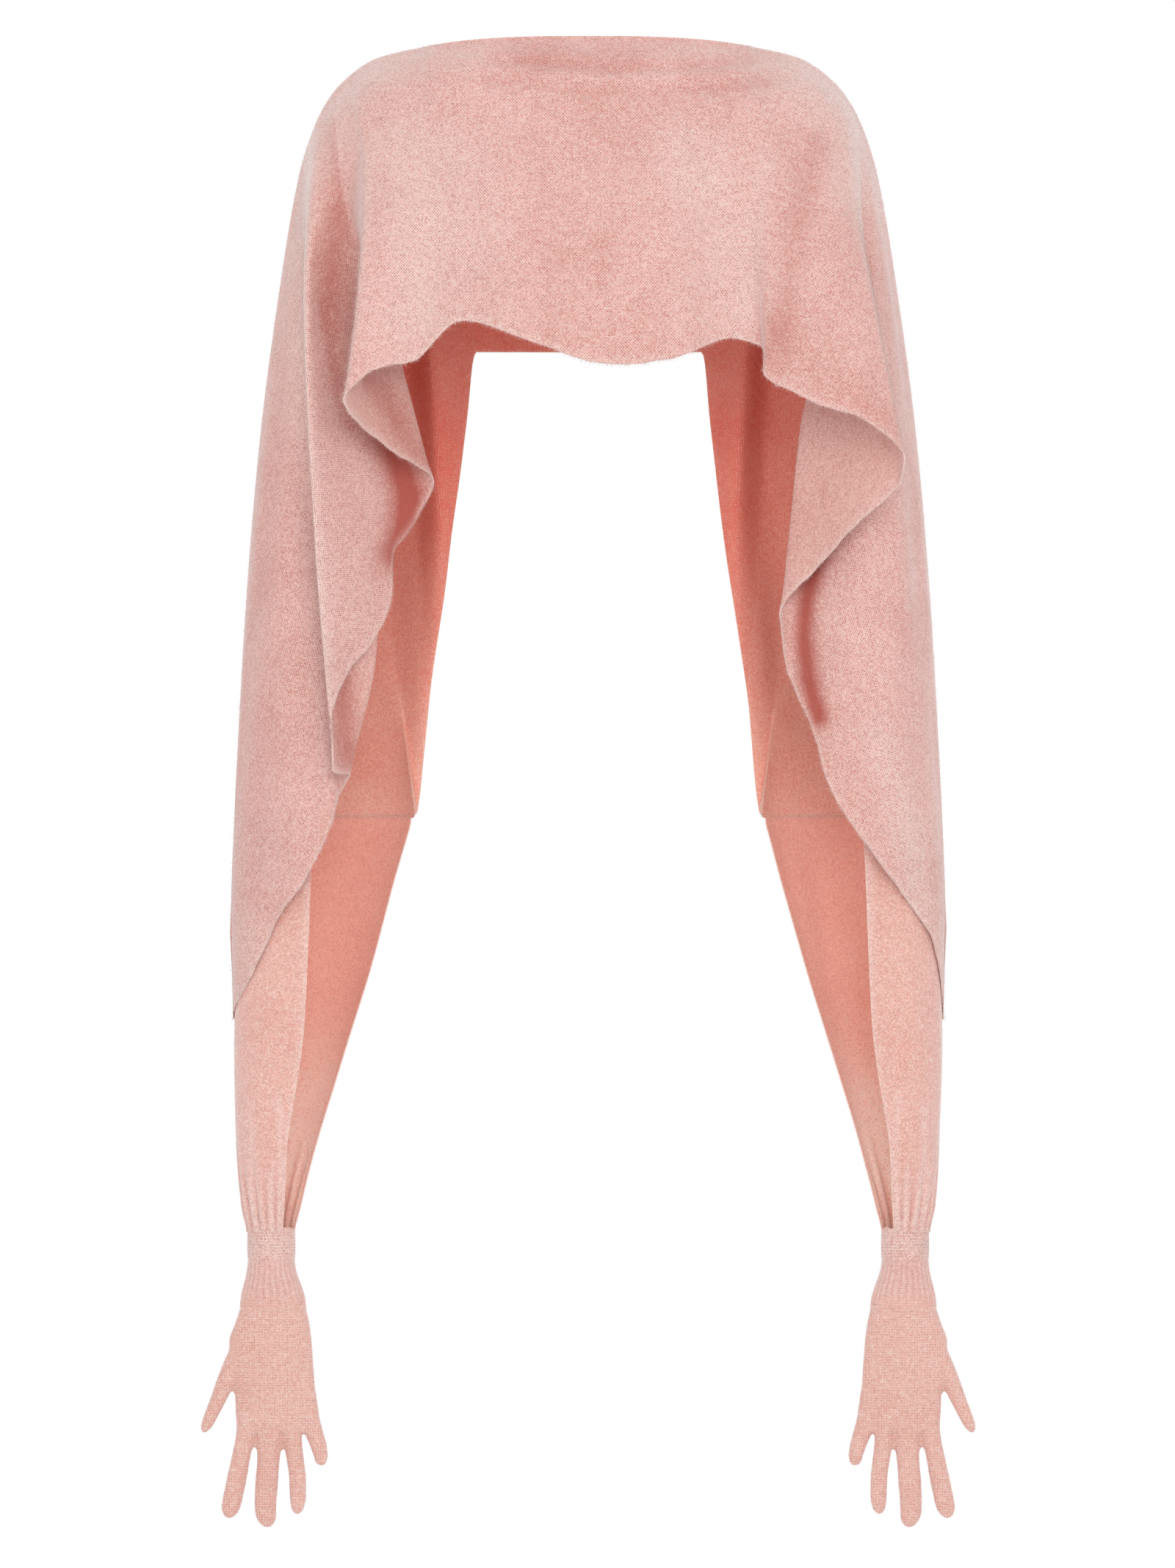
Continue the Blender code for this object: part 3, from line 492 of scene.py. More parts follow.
# Paler than the face: pale fuzz, with painted light on edges that face down.
HEM = Knit("edge yarn", (0.86, 0.64, 0.59), (0.6, 0.3, 0.25), BROWN, PALE, pits=0.2, grain=0.4)
BAND = Knit("band yarn", (0.81, 0.51, 0.455), (0.6, 0.3, 0.25), BROWN, PALE,
            pitch=2.3, pits=0.8, grain=1.4, stitch=Stitch.CHEVRON)
RIBBED = Knit("ribbed yarn", (0.80, 0.495, 0.44), (0.55, 0.22, 0.18), BROWN, PALE,
              foot=(0.81, 0.48, 0.415), pitch=1.9, pits=0.5, stitch=Stitch.CHEVRON)
GLOVE = Knit("glove yarn", (0.81, 0.48, 0.415), (0.6, 0.26, 0.2), BROWN, PALE,
             pitch=1.9, pits=0.6, wisps=0.4, grain=0.9, stitch=Stitch.CHEVRON)


@dataclass(frozen=True)
class Mottle:
    """The noises that break up a knit: their scales per metre, and how far one warps the rows."""

    warp: float = 260.0
    warp_by: float = 0.0017
    patches: float = 170.0
    each_gap: float = 520.0
    wisps: tuple = (110.0, 420.0, 1.0)
    clouds: float = 22.0
    specks: float = 620.0
    fine: float = 900.0


class KnitShader:
    """Builds the node material of one knit."""

    mottle = Mottle()

    def __init__(self, knit: Knit) -> None:
        """Makes the material of the knit."""
        self.knit = knit
        self.material = bpy.data.materials.new(knit.name)
        self.material.use_nodes = True
        self.tree = self.material.node_tree
        self.shader = self.tree.nodes["Principled BSDF"]
        self.build()

    def node(self, kind: str, links: dict, **settings: object) -> bpy.types.Node:
        """A new node of the material.

        Args:
            kind: the node's type.
            links: a socket or a value for each input, by its name or number.
            settings: the node's own settings.

        Returns:
            The node.
        """
        made = self.tree.nodes.new(kind)
        for key, value in settings.items():
            setattr(made, key, value)
        for key, value in links.items():
            if isinstance(value, bpy.types.NodeSocket):
                self.tree.links.new(value, made.inputs[key])
            else:
                made.inputs[key].default_value = value
        return made

    def math(self, operation: str, *values: object) -> bpy.types.NodeSocket:
        """The result of a Math node on sockets and numbers."""
        return self.node("ShaderNodeMath", dict(enumerate(values)), operation=operation).outputs[0]

    def ramp(
        self, value: bpy.types.NodeSocket, low: float, high: float, top: float = 1.0
    ) -> bpy.types.NodeSocket:
        """0 up to low, top from high, with a soft rise between them."""
        links = {"Value": value, "From Min": low, "From Max": high, "To Max": top}
        made = self.node("ShaderNodeMapRange", links, interpolation_type="SMOOTHSTEP")
        return made.outputs["Result"]

    def noise(self, vector: bpy.types.NodeSocket, scale: float, detail: float) -> bpy.types.Node:
        """A noise texture."""
        return self.node("ShaderNodeTexNoise", {"Vector": vector, "Scale": scale, "Detail": detail})

    def blend(self, factor: object, first: object, second: object) -> bpy.types.NodeSocket:
        """A colour mixed from two, each a colour or a socket, by a varying factor."""
        pair = [(*c, 1.0) if isinstance(c, tuple) else c for c in (first, second)]
        links = {0: factor, 6: pair[0], 7: pair[1]}
        return self.node("ShaderNodeMix", links, data_type="RGBA").outputs[2]

    def lattice(self, place: bpy.types.NodeSocket) -> bpy.types.NodeSocket:
        """The gaps of the stitches, a little warped.

        Args:
            place: the map of the stitches, in metres.

        Returns:
            A value from 0 to 1 in the gaps.
        """
        knit = self.knit
        warp = self.noise(place, self.mottle.warp, 2.0)
        links = {0: warp.outputs["Color"], 1: (self.mottle.warp_by,) * 3, 2: place}
        moved = self.node("ShaderNodeVectorMath", links, operation="MULTIPLY_ADD")
        size = (1.0 / MM / knit.pitch, 1.0 / MM / (knit.pitch * knit.course), 0.0)
        scaled = self.node("ShaderNodeMapping", {"Vector": moved.outputs[0], "Scale": size})
        split = self.node("ShaderNodeSeparateXYZ", {0: scaled.outputs[0]})
        across, along = split.outputs["X"], split.outputs["Y"]
        if knit.stitch is Stitch.CHEVRON:
            middle = self.math("ABSOLUTE", self.math("SUBTRACT", self.math("FRACT", across), 0.5))
            slanted = self.math("MULTIPLY_ADD", along, 1.0, middle)
            rows = self.math("COSINE", self.math("MULTIPLY", slanted, FULL_TURN))
            wales = self.math("MULTIPLY_ADD", middle, 2.4, -0.9)
            return self.ramp(self.math("ADD", rows, wales), 0.1, 1.1)
        waves = [self.math("COSINE", self.math("MULTIPLY", v, FULL_TURN)) for v in (across, along)]
        return self.ramp(self.math("MULTIPLY", *waves), 0.25, 0.8)

    def shown_gaps(self, place: bpy.types.NodeSocket) -> bpy.types.NodeSocket:
        """How far the gaps show through the nap, in patches and from gap to gap."""
        patchy = self.ramp(self.noise(place, self.mottle.patches, 3.0).outputs[0], 0.36, 0.62)
        each = self.ramp(self.noise(place, self.mottle.each_gap, 1.0).outputs[0], 0.34, 0.6)
        pits = self.knit.pits
        shown = self.math("MULTIPLY_ADD", patchy, 0.6 * pits, 0.4 * pits)
        return self.math("MULTIPLY", shown, self.math("MULTIPLY_ADD", each, 0.7, 0.45))

    def wisps(self, place: bpy.types.NodeSocket) -> bpy.types.NodeSocket:
        """Pale strokes of brushed nap, longer down the cloth than across it."""
        stretched = self.node("ShaderNodeMapping", {"Vector": place, "Scale": self.mottle.wisps})
        strokes = self.noise(stretched.outputs[0], 1.0, 4.0).outputs[0]
        return self.ramp(strokes, 0.48, 0.74, self.knit.wisps)

    def build(self) -> None:
        """Links the whole material."""
        knit, mottle = self.knit, self.mottle
        place = self.node("ShaderNodeUVMap", {}, uv_map="stitches").outputs[0]
        spot = self.node("ShaderNodeTexCoord", {}).outputs["Object"]
        # The tone: painted highlight and pale fuzz, painted shade, and the foot's share.
        tone = self.node("ShaderNodeAttribute", {}, attribute_name="tone").outputs["Color"]
        split = self.node("ShaderNodeSeparateColor", {"Color": tone})
        highlight_and_fuzz_here, painted_shade_here, foot_here = (split.outputs[c] for c in ("Red", "Green", "Blue"))
        gaps = self.lattice(place)
        shown = self.shown_gaps(place)
        # Wisps and pale specks are held back under painted shade.
        unshaded = self.math("SUBTRACT", 1.0, painted_shade_here)
        wisp = self.math("MULTIPLY", self.wisps(place), unshaded)
        clouds = self.ramp(self.noise(spot, mottle.clouds, 3.0).outputs[0], 0.35, 0.7, 0.16)
        # Painted shade with random clouds over the face or foot colour, then painted highlight and pale
        # fuzz.
        deep = self.math("ADD", painted_shade_here, clouds)
        ground = self.blend(deep, self.blend(foot_here, knit.face, knit.foot), knit.deep)
        brushed = self.blend(wisp, self.blend(highlight_and_fuzz_here, ground, knit.pale), knit.pale)
        pitted = self.blend(self.math("MULTIPLY", gaps, shown), brushed, knit.pit)
        speck = self.noise(spot, mottle.specks, 2.0).outputs[0]
        dark = self.ramp(speck, 0.53, 0.30, 0.42 * knit.grain)
        light = self.math("MULTIPLY", self.ramp(speck, 0.50, 0.72, 0.55 * knit.grain), unshaded)
        colour = self.blend(light, self.blend(dark, pitted, knit.deep), knit.pale)
        height = self.math("MULTIPLY_ADD", gaps, -0.6, self.noise(place, mottle.fine, 2.0).outputs[0])
        bump = self.node("ShaderNodeBump", {"Height": height, "Strength": knit.relief, "Distance": 0.0006})
        self.tree.links.new(colour, self.shader.inputs["Base Color"])
        self.tree.links.new(bump.outputs[0], self.shader.inputs["Normal"])
        values = {
            "Roughness": 0.9,
            "Specular IOR Level": 0.12,
            "Sheen Weight": knit.sheen,
            "Sheen Roughness": 0.35,
            "Subsurface Weight": knit.through,
            "Subsurface Radius": (1.0, 0.45, 0.36),
            "Subsurface Scale": 0.003,
        }
        for name, value in values.items():
            self.shader.inputs[name].default_value = value


def knit_material(knit: Knit) -> bpy.types.Material:
    """The material of a knit, made once."""
    return bpy.data.materials.get(knit.name) or KnitShader(knit).material


def fibre_material(knit: Knit) -> bpy.types.Material:
    """A pale finish for loose fibres of a knit, with painted shade where its cloth has it, made once."""
    name = f"{knit.name} fibre"
    if bpy.data.materials.get(name):
        return bpy.data.materials[name]
    made = bpy.data.materials.new(name)
    made.use_nodes = True
    tree = made.node_tree
    shader = tree.nodes["Principled BSDF"]
    tone = tree.nodes.new("ShaderNodeAttribute")
    tone.attribute_name = "tone"
    parts = tree.nodes.new("ShaderNodeSeparateColor")
    tree.links.new(tone.outputs["Color"], parts.inputs[0])
    mixed = tree.nodes.new("ShaderNodeMix")
    mixed.data_type = "RGBA"
    tree.links.new(parts.outputs["Green"], mixed.inputs[0])
    mixed.inputs[6].default_value = (*knit.pale, 1.0)
    mixed.inputs[7].default_value = (*knit.deep, 1.0)
    tree.links.new(mixed.outputs[2], shader.inputs["Base Color"])
    shader.inputs["Roughness"].default_value = 0.8
    shader.inputs["Specular IOR Level"].default_value = 0.2
    return made


def smooth_step(x: np.ndarray, low: float, high: float) -> np.ndarray:
    """0 up to low, 1 from high, and a soft rise between them."""
    t = np.clip((np.asarray(x, float) - low) / (high - low), 0.0, 1.0)
    return t * t * (3.0 - 2.0 * t)


def fade(gap: np.ndarray, wide: float) -> np.ndarray:
    """1 where there is no gap, falling softly to nothing beyond a width."""
    return np.exp(-((gap / wide) ** 2))


def unit(vectors: np.ndarray) -> np.ndarray:
    """The directions of vectors along the last axis."""
    return vectors / np.maximum(np.linalg.norm(vectors, axis=-1, keepdims=True), TINY)


def lengths_along(line: np.ndarray) -> np.ndarray:
    """How far each point of a line is from its first."""
    return np.concatenate([[0.0], np.cumsum(np.linalg.norm(np.diff(line, axis=0), axis=1))])


def full_circle(count: int) -> np.ndarray:
    """Angles evenly round a circle."""
    return np.linspace(0.0, FULL_TURN, count, endpoint=False)


def through(knots: list, values: list, at: np.ndarray) -> np.ndarray:
    """A smooth curve through values, with no overshoot.

    Args:
        knots: rising places along the curve.
        values: the number, or the row of numbers, at each of them.
        at: the places where the curve is read.

    Returns:
        The number or row at each of those places.
    """
    knots, values, at = (np.asarray(v, float) for v in (knots, values, at))
    spread = (slice(None), None) if values.ndim > 1 else slice(None)
    slope = np.diff(values, axis=0) / np.diff(knots)[spread]
    bend = slope[:-1] * slope[1:]
    total = slope[:-1] + slope[1:]
    safe = np.where(np.abs(total) > TINY, total, 1.0)
    inside = np.where(bend > 0, 2.0 * bend / safe, 0.0)
    rate = np.concatenate([slope[:1], inside, slope[-1:]])
    cell = np.clip(np.searchsorted(knots, at, side="right") - 1, 0, len(knots) - 2)
    width = knots[cell + 1] - knots[cell]
    t = ((at - knots[cell]) / width)[spread]
    width = width[spread]
    return (
        values[cell] * (1 + 2 * t) * (1 - t) ** 2
        + values[cell + 1] * t * t * (3 - 2 * t)
        + rate[cell] * width * t * (1 - t) ** 2
        - rate[cell + 1] * width * t * t * (1 - t)
    )


def over_arm_out(down: np.ndarray) -> np.ndarray:
    """How far out the over-arm line is at each depth."""
    return through([r.down for r in OVER_ARM], [r.out for r in OVER_ARM], down)


def upper_edge(along: np.ndarray, fore_sign: int) -> np.ndarray:
    """Points on the neck edge and then on the over-arm line.

    Args:
        along: their lengths along the edge, from the centre.
        fore_sign: 1 for the front, -1 for the back.

    Returns:
        The points (out, fore, down).
    """
    line = np.array([(r.out, r.down) for r in OVER_ARM])
    lengths = NECK_HALF_WIDTH + lengths_along(line)
    points = np.empty((len(along), 3))
    for i, length in enumerate(along):
        share = min(length / NECK_HALF_WIDTH, 1.0)
        if share < 1.0:
            fore = NECK_HALF_DEPTH * math.sqrt(1.0 - share * share)
            points[i] = (length, fore, NECK_DROP * share**3)
        else:
            down = float(np.interp(length, lengths, line[:, 1]))
            points[i] = (float(over_arm_out([down])[0]), 0.0, down)
    points[:, 1] = fore_sign * np.maximum(points[:, 1], SEAM_GAP / 2)
    return points


def columns_of(folds: list[Fold], detail: int) -> np.ndarray:
    """Places of the mesh columns along a list of folds, counted in folds."""
    places = [0.0]
    for i, fold in enumerate(folds[1:]):
        count = fold.cols * detail
        places.extend(i + (k + 1) / count for k in range(count))
    return np.array(places)


def seam_end(ends: tuple, fore_sign: int) -> Fold:
    """The last fold of a side, which lies on the over-arm line itself."""
    points = upper_edge(np.linspace(*ends, 4), fore_sign)
    return Fold("seam end", 2, ends[0], *(tuple(p) for p in points[1:]))


def drop_grid(
    folds: list[Fold], rows: int, fore_sign: int, foot_straight: float, detail: int
) -> np.ndarray:
    """The cloth of one side, from the centre out to the over-arm line.

    Args:
        folds: its folds, from the centre to the seam's end.
        rows: how many points a column has below its top.
        fore_sign: 1 for the front, -1 for the back.
        foot_straight: how far up from the hem a column runs straight, 0 for not at all.
        detail: how many fine columns stand for one of the solids.

    Returns:
        Columns of points (out, fore, down).
    """
    knots = np.arange(len(folds))
    at = columns_of(folds, detail)
    along = through(knots, [f.top for f in folds], at)
    top = upper_edge(along, fore_sign)
    upper, lower, hem = (
        through(knots, [getattr(f, part) for f in folds], at) for part in ("upper", "lower", "hem")
    )
    on_arm = smooth_step(along, *CORNER_SPAN)[:, None]
    on_arm[-1] = 0.0
    across = np.array([0.0, fore_sign, 0.0])
    first = top + SEAM_STRAIGHT * (on_arm * across + (1.0 - on_arm) * unit(upper - top))
    last = hem - np.array([0.0, 0.0, foot_straight])
    turn = first + (upper - first) * np.array(TURN_SHARES)
    t = np.linspace(0.0, 1.0, rows)
    grid = []
    for c in range(len(at)):
        line = [first[c], turn[c], upper[c], lower[c], last[c]]
        column = [top[c], *through(FOLD_SHARES, line, t)]
        grid.append([*column, hem[c]] if foot_straight else column)
    beside = np.array(grid[-1]) + SEAM_STRAIGHT * across
    beside[0] = upper_edge([along[-1] - SEAM_STRAIGHT], fore_sign)[0]
    return np.array([*grid[:-1], beside, grid[-1]])


def sleeve_section(down: np.ndarray) -> tuple:
    """Centre, half width, half depth and slit angle of the sleeve at each depth."""
    knots = [s.down for s in SLEEVE_SECTIONS]
    inner, slit, deep = (
        through(knots, [getattr(s, part) for s in SLEEVE_SECTIONS], down)
        for part in ("inner", "slit", "depth")
    )
    outer = over_arm_out(down)
    half = (outer - inner) / (1.0 - math.cos(math.radians(INNER_EDGE_DEG)))
    centre = outer - half
    return centre, half, deep, np.arccos((slit - centre) / half)


def over_sleeve(grid: np.ndarray) -> np.ndarray:
    """The front's points (out, fore, down), kept clear of the sleeve that they lie on."""
    flat = grid.reshape(-1, 3)
    low = flat[:, 2] > OVER_SLEEVE_FROM
    centre, half, deep, _ = sleeve_section(np.clip(flat[low, 2], SLEEVE_TOP, CUFF_TOP))
    reach = (flat[low, 0] - centre) / half
    size = np.hypot(reach, flat[low, 1] / (deep + FRONT_OVER_SLEEVE))
    grow = np.where((size < 1.0) & (reach > 0), 1.0 / np.maximum(size, LEAST_REACH), 1.0)
    grow = 1.0 + (grow - 1.0) * smooth_step(flat[low, 2], OVER_SLEEVE_FROM, SLEEVE_TOP + 10.0)
    grow = np.where(flat[low, 1] <= SEAM_GAP, 1.0, grow)
    flat[low, 0] = centre + (flat[low, 0] - centre) * grow
    flat[low, 1] *= grow
    return flat.reshape(grid.shape)


def meet_sleeve(grid: np.ndarray) -> np.ndarray:
    """The back's points, with the columns that end at a sleeve brought on to its section."""
    centre, half, deep, _ = sleeve_section([SLEEVE_TOP + SEAM_STRAIGHT])
    at_sleeve = np.flatnonzero(grid[:, -1, 2] > SLEEVE_TOP - SEAM_STRAIGHT)[:-1]
    inner = grid[at_sleeve]
    reach = np.clip((inner[:, -1, 0] - centre) / half, -1.0, 1.0)
    shift = -deep * np.sqrt(1.0 - reach**2) - inner[:, -1, 1]
    share = smooth_step(inner[..., 2], SLEEVE_TOP - MEET_SPAN, SLEEVE_TOP - SEAM_STRAIGHT)
    inner[..., 1] += shift[:, None] * share
    grid[at_sleeve] = inner
    return grid


def to_metres(points: np.ndarray, side: int) -> np.ndarray:
    """(out, fore, down) in millimetres to (x, y, z) in metres, on the side given by its sign."""
    points = np.asarray(points, float)
    return np.stack([side * points[..., 0], -points[..., 1], -points[..., 2]], -1) * MM


# The parts of a tone: painted highlight and pale fuzz, painted shade, and how near the foot, whose colour
# on the sleeve's inner face is painted light.
HIGHLIGHT_AND_FUZZ_PART, PAINTED_SHADE_PART, FOOT_PART = 0, 1, 2
# The lengths in millimetres of the waves in a cut hem, and the one that has its full height.
HEM_WAVES = (11.0, 17.0, 29.0, 47.0)
FULL_HEM_WAVE = 29.0
# How many slow waves make a cloth uneven, and from what to what length in millimetres.
SLOW_WAVES = 9
SLOW_WAVE_LENGTHS = (34.0, 90.0)


@dataclass
class ClothGrid:
    """Points of a cloth in metres, column by column, with its tone and which way it faces."""

    points: np.ndarray
    flip: bool
    closed: bool = False
    tone: np.ndarray | None = None

    def __post_init__(self) -> None:
        """Starts the tone at nothing."""
        if self.tone is None:
            self.tone = np.zeros_like(self.points)

    @property
    def out(self) -> np.ndarray:
        """How far each point is to the wearer's left, in millimetres."""
        return self.points[..., 0] / MM

    @property
    def down(self) -> np.ndarray:
        """How far each point is below the neck, in millimetres."""
        return -self.points[..., 2] / MM

    def normals(self) -> np.ndarray:
        """The outward direction at each point."""
        if self.closed:
            across = np.roll(self.points, -1, 0) - np.roll(self.points, 1, 0)
        else:
            across = np.gradient(self.points, axis=0)
        out = unit(np.cross(across, np.gradient(self.points, axis=1)))
        return -out if self.flip else out

    def from_top(self) -> np.ndarray:
        """How far each point is from the top of its column, in millimetres."""
        steps = np.linalg.norm(np.diff(self.points, axis=1), axis=2)
        return np.concatenate([np.zeros((len(steps), 1)), np.cumsum(steps, axis=1)], 1) / MM

    def from_hem(self) -> np.ndarray:
        """How far each point is from the foot of its column, in millimetres."""
        steps = np.linalg.norm(np.diff(self.points, axis=1), axis=2)
        below = np.cumsum(steps[:, ::-1], axis=1)[:, ::-1]
        return np.concatenate([below, np.zeros((len(below), 1))], 1) / MM

    def near(self, path: list) -> np.ndarray:
        """How far each point is from a line in the front view, in millimetres."""
        line = np.array(path, float)
        near = np.full(self.points.shape[:2], np.inf)
        for a, b in zip(line[:-1], line[1:]):
            way = b - a
            x, down = self.out - a[0], self.down - a[1]
            t = np.clip((x * way[0] + down * way[1]) / (way @ way), 0.0, 1.0)
            near = np.minimum(near, np.hypot(x - t * way[0], down - t * way[1]))
        return near

    def move(self, by: np.ndarray) -> None:
        """Moves each point outwards by its own number of millimetres."""
        self.points = self.points + self.normals() * by[..., None] * MM

    def pressed(self, creases: list[Crease], share: np.ndarray) -> None:
        """Moves the cloth in along creases, and paints shade in the troughs and highlights on the ridges.

        Args:
            creases: the creases.
            share: how much of their depth each point takes.
        """
        moved = np.zeros(self.points.shape[:2])
        for crease in creases:
            press = crease.depth * fade(self.near(crease.path), crease.width)
            moved -= press
            # Painted shade in each trough, painted highlight on each ridge.
            self.tone[..., PAINTED_SHADE_PART] += np.clip(0.06 * press * share, 0.0, 0.2)
            self.tone[..., HIGHLIGHT_AND_FUZZ_PART] += np.clip(-0.09 * press * share, 0.0, 0.3)
        self.move(moved * share)

    def relax(self, share: np.ndarray, passes: int) -> None:
        """Rounds the cloth across its columns, with its two edges kept.

        Args:
            share: how much each point takes part.
            passes: how often it is done.
        """
        for _ in range(passes):
            middle = (self.points[:-2] + self.points[2:]) / 2
            self.points[1:-1] += (middle - self.points[1:-1]) * share[1:-1, :, None] * 0.5

    def ragged(self, seed: int, size: float) -> None:
        """Lets the hem wander in small steps, as a soft cut edge does.

        Args:
            seed: where the random numbers start.
            size: how far it wanders, in millimetres.
        """
        rng = np.random.default_rng(seed)
        foot = self.points[:, -1] / MM
        at = lengths_along(foot)
        moves = []
        for _ in range(2):
            move = np.zeros(len(at))
            for wave in HEM_WAVES:
                wave *= rng.uniform(0.9, 1.1)
                move += wave / FULL_HEM_WAVE * np.sin(at * FULL_TURN / wave + rng.uniform(0, 6.3))
            moves.append(move * size)
        down = unit(self.points[:, -1] - self.points[:, -3])
        free = smooth_step(np.minimum(at, at[-1] - at), 5.0, 25.0)
        free *= 0.35 + 0.65 * smooth_step(np.abs(foot[:, 0]), 95.0, 140.0)
        share = fade(self.from_hem(), 9.0) * free[:, None] * MM
        wander = (down * moves[0][:, None])[:, None] + self.normals() * 0.8 * moves[1][:, None, None]
        self.points = self.points + share[..., None] * wander

    def uneven(self, seed: int, size: float, share: np.ndarray) -> None:
        """Adds slow rises and falls, the same at every run.

        Args:
            seed: where the random numbers start.
            size: how high they are, in millimetres.
            share: how much of it each point takes.
        """
        rng = np.random.default_rng(seed)
        fore = self.points[..., 1] / MM
        total = np.zeros(fore.shape)
        for _ in range(SLOW_WAVES):
            wave = rng.uniform(*SLOW_WAVE_LENGTHS)
            turn = rng.uniform(-0.5, 0.5)
            run = self.out * math.cos(turn) + fore * 0.8 + self.down * math.sin(turn) * 0.45
            total += np.sin(run * FULL_TURN / wave + rng.uniform(0, FULL_TURN)) / 3.0
        self.move(total * share * size)


@dataclass(frozen=True)
class Faces:
    """The knits of a cloth: its outer face, its inner face and its cut edge."""

    outer: Knit
    inner: Knit
    edge: Knit


def only_active(made: bpy.types.Object) -> None:
    """Selects one object and makes it the active one."""
    bpy.ops.object.select_all(action="DESELECT")
    made.select_set(True)
    bpy.context.view_layer.objects.active = made


def new_object(name: str, content: bpy.types.ID) -> bpy.types.Object:
    """Links a new object of a mesh, a lamp or a camera to the scene."""
    made = bpy.data.objects.new(name, content)
    bpy.context.scene.collection.objects.link(made)
    return made


def values_of(items: bpy.types.bpy_prop_collection, name: str, wide: int = 1) -> np.ndarray:
    """One property of all items of a mesh, wide numbers each."""
    kind = int if name == "vertex_index" else float
    values = np.empty(len(items) * wide, kind)
    items.foreach_get(name, values)
    return values.reshape(-1, wide) if wide > 1 else values


def area_of(made: bpy.types.Object) -> float:
    """The area of an open sheet in square metres."""
    return float(values_of(made.data.polygons, "area").sum())


def add_tone(mesh: bpy.types.Mesh, tone: np.ndarray) -> None:
    """Gives each vertex its tone of painted highlight, painted shade and foot share, which the material of
    the knit reads.
    """
    layer = mesh.color_attributes.new(name="tone", type="FLOAT_COLOR", domain="POINT")
    layer.data.foreach_set("color", np.concatenate([tone, np.ones((len(tone), 1))], 1).ravel())


def cloth_object(name: str, grid: ClothGrid) -> bpy.types.Object:
    """An open sheet or a tube of cloth, with its tone and its map of the stitches.

    Args:
        name: the object's name.
        grid: its points.

    Returns:
        The object.
    """
    columns, rows = grid.points.shape[:2]
    last = columns if grid.closed else columns - 1
    c, r = [a.ravel() for a in np.meshgrid(range(last), range(rows - 1), indexing="ij")]
    corner_c = np.stack([c, c + 1, c + 1, c], 1)
    corner_r = np.stack([r, r, r + 1, r + 1], 1)
    if grid.flip:
        corner_c, corner_r = corner_c[:, ::-1], corner_r[:, ::-1]
    quads = (corner_c % columns) * rows + corner_r
    mesh = bpy.data.meshes.new(name)
    mesh.from_pydata(grid.points.reshape(-1, 3).tolist(), [], quads.tolist())
    mesh.shade_smooth()
    add_tone(mesh, grid.tone.reshape(-1, 3))
    layer = mesh.uv_layers.new(name="stitches")
    whole = np.concatenate([grid.points, grid.points[:1]]) if grid.closed else grid.points
    steps = np.linalg.norm(np.diff(whole[..., :2], axis=0), axis=2)
    across = np.concatenate([np.zeros((1, rows)), np.cumsum(steps, axis=0)])
    across -= across[len(across) // 2]
    down = grid.from_top() * MM - grid.points[:, :1, 2]
    down = np.concatenate([down, down[:1]])
    pairs = np.stack([across[corner_c, corner_r], -down[corner_c, corner_r]], -1)
    layer.data.foreach_set("uv", pairs.ravel())
    return new_object(name, mesh)


def flatten(made: bpy.types.Object, grid: ClothGrid, column: int) -> tuple:
    """Lays a cloth out flat with least stretch: that is its cut, and the map of its stitches.

    Args:
        made: the open sheet.
        grid: the points that it was made from.
        column: the column that the grain follows.

    Returns:
        The width and the length of the flat cut.
    """
    only_active(made)
    mesh = made.data
    bpy.ops.object.mode_set(mode="EDIT")
    bpy.ops.mesh.select_all(action="SELECT")
    bpy.ops.uv.unwrap(method="MINIMUM_STRETCH", fill_holes=False, correct_aspect=False, margin=0.0)
    bpy.ops.object.mode_set(mode="OBJECT")
    layer = mesh.uv_layers["stitches"]
    flat = values_of(layer.data, "uv", 2)
    corner = values_of(mesh.loops, "vertex_index")
    quads = flat.reshape(-1, 4, 2)
    one, other = quads[:, 2] - quads[:, 0], quads[:, 3] - quads[:, 1]
    signed = 0.5 * (one[:, 0] * other[:, 1] - one[:, 1] * other[:, 0])
    scale = math.sqrt(area_of(made) / abs(signed.sum()))
    rows = grid.points.shape[1]
    top, foot = column * rows, column * rows + rows - 1
    first, last = (flat[np.flatnonzero(corner == vertex)[0]] for vertex in (top, foot))
    grain = (first - last) / np.linalg.norm(first - last)
    turned = np.stack([(flat - first) @ np.array([grain[1], -grain[0]]), (flat - first) @ grain], 1)
    layer.data.foreach_set("uv", (turned * scale).ravel())
    return tuple(np.ptp(turned * scale, axis=0))


def add_shell(made: bpy.types.Object, faces: Faces, wall: float) -> None:
    """Gives a cloth its thickness inwards, in millimetres, and its three knits."""
    for knit in (faces.outer, faces.inner, faces.edge):
        made.data.materials.append(knit_material(knit))
    shell = made.modifiers.new("Cloth", "SOLIDIFY")
    shell.thickness = wall * MM
    shell.offset = -1.0
    shell.material_offset = 1
    shell.material_offset_rim = 2
    only_active(made)
    bpy.ops.object.modifier_apply(modifier=shell.name)
    made.data.set_sharp_from_angle(angle=math.radians(60.0))


def place(made: bpy.types.Object, slot: Slot, *nodes: str) -> None:
    """Ties a finished piece to the body and hides the nodes that it stands for."""
    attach(made, BODY)
    if nodes:
        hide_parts(*nodes)
    LOG.info("%s: %d triangles", made.name, sum(len(p.vertices) - 2 for p in made.data.polygons))


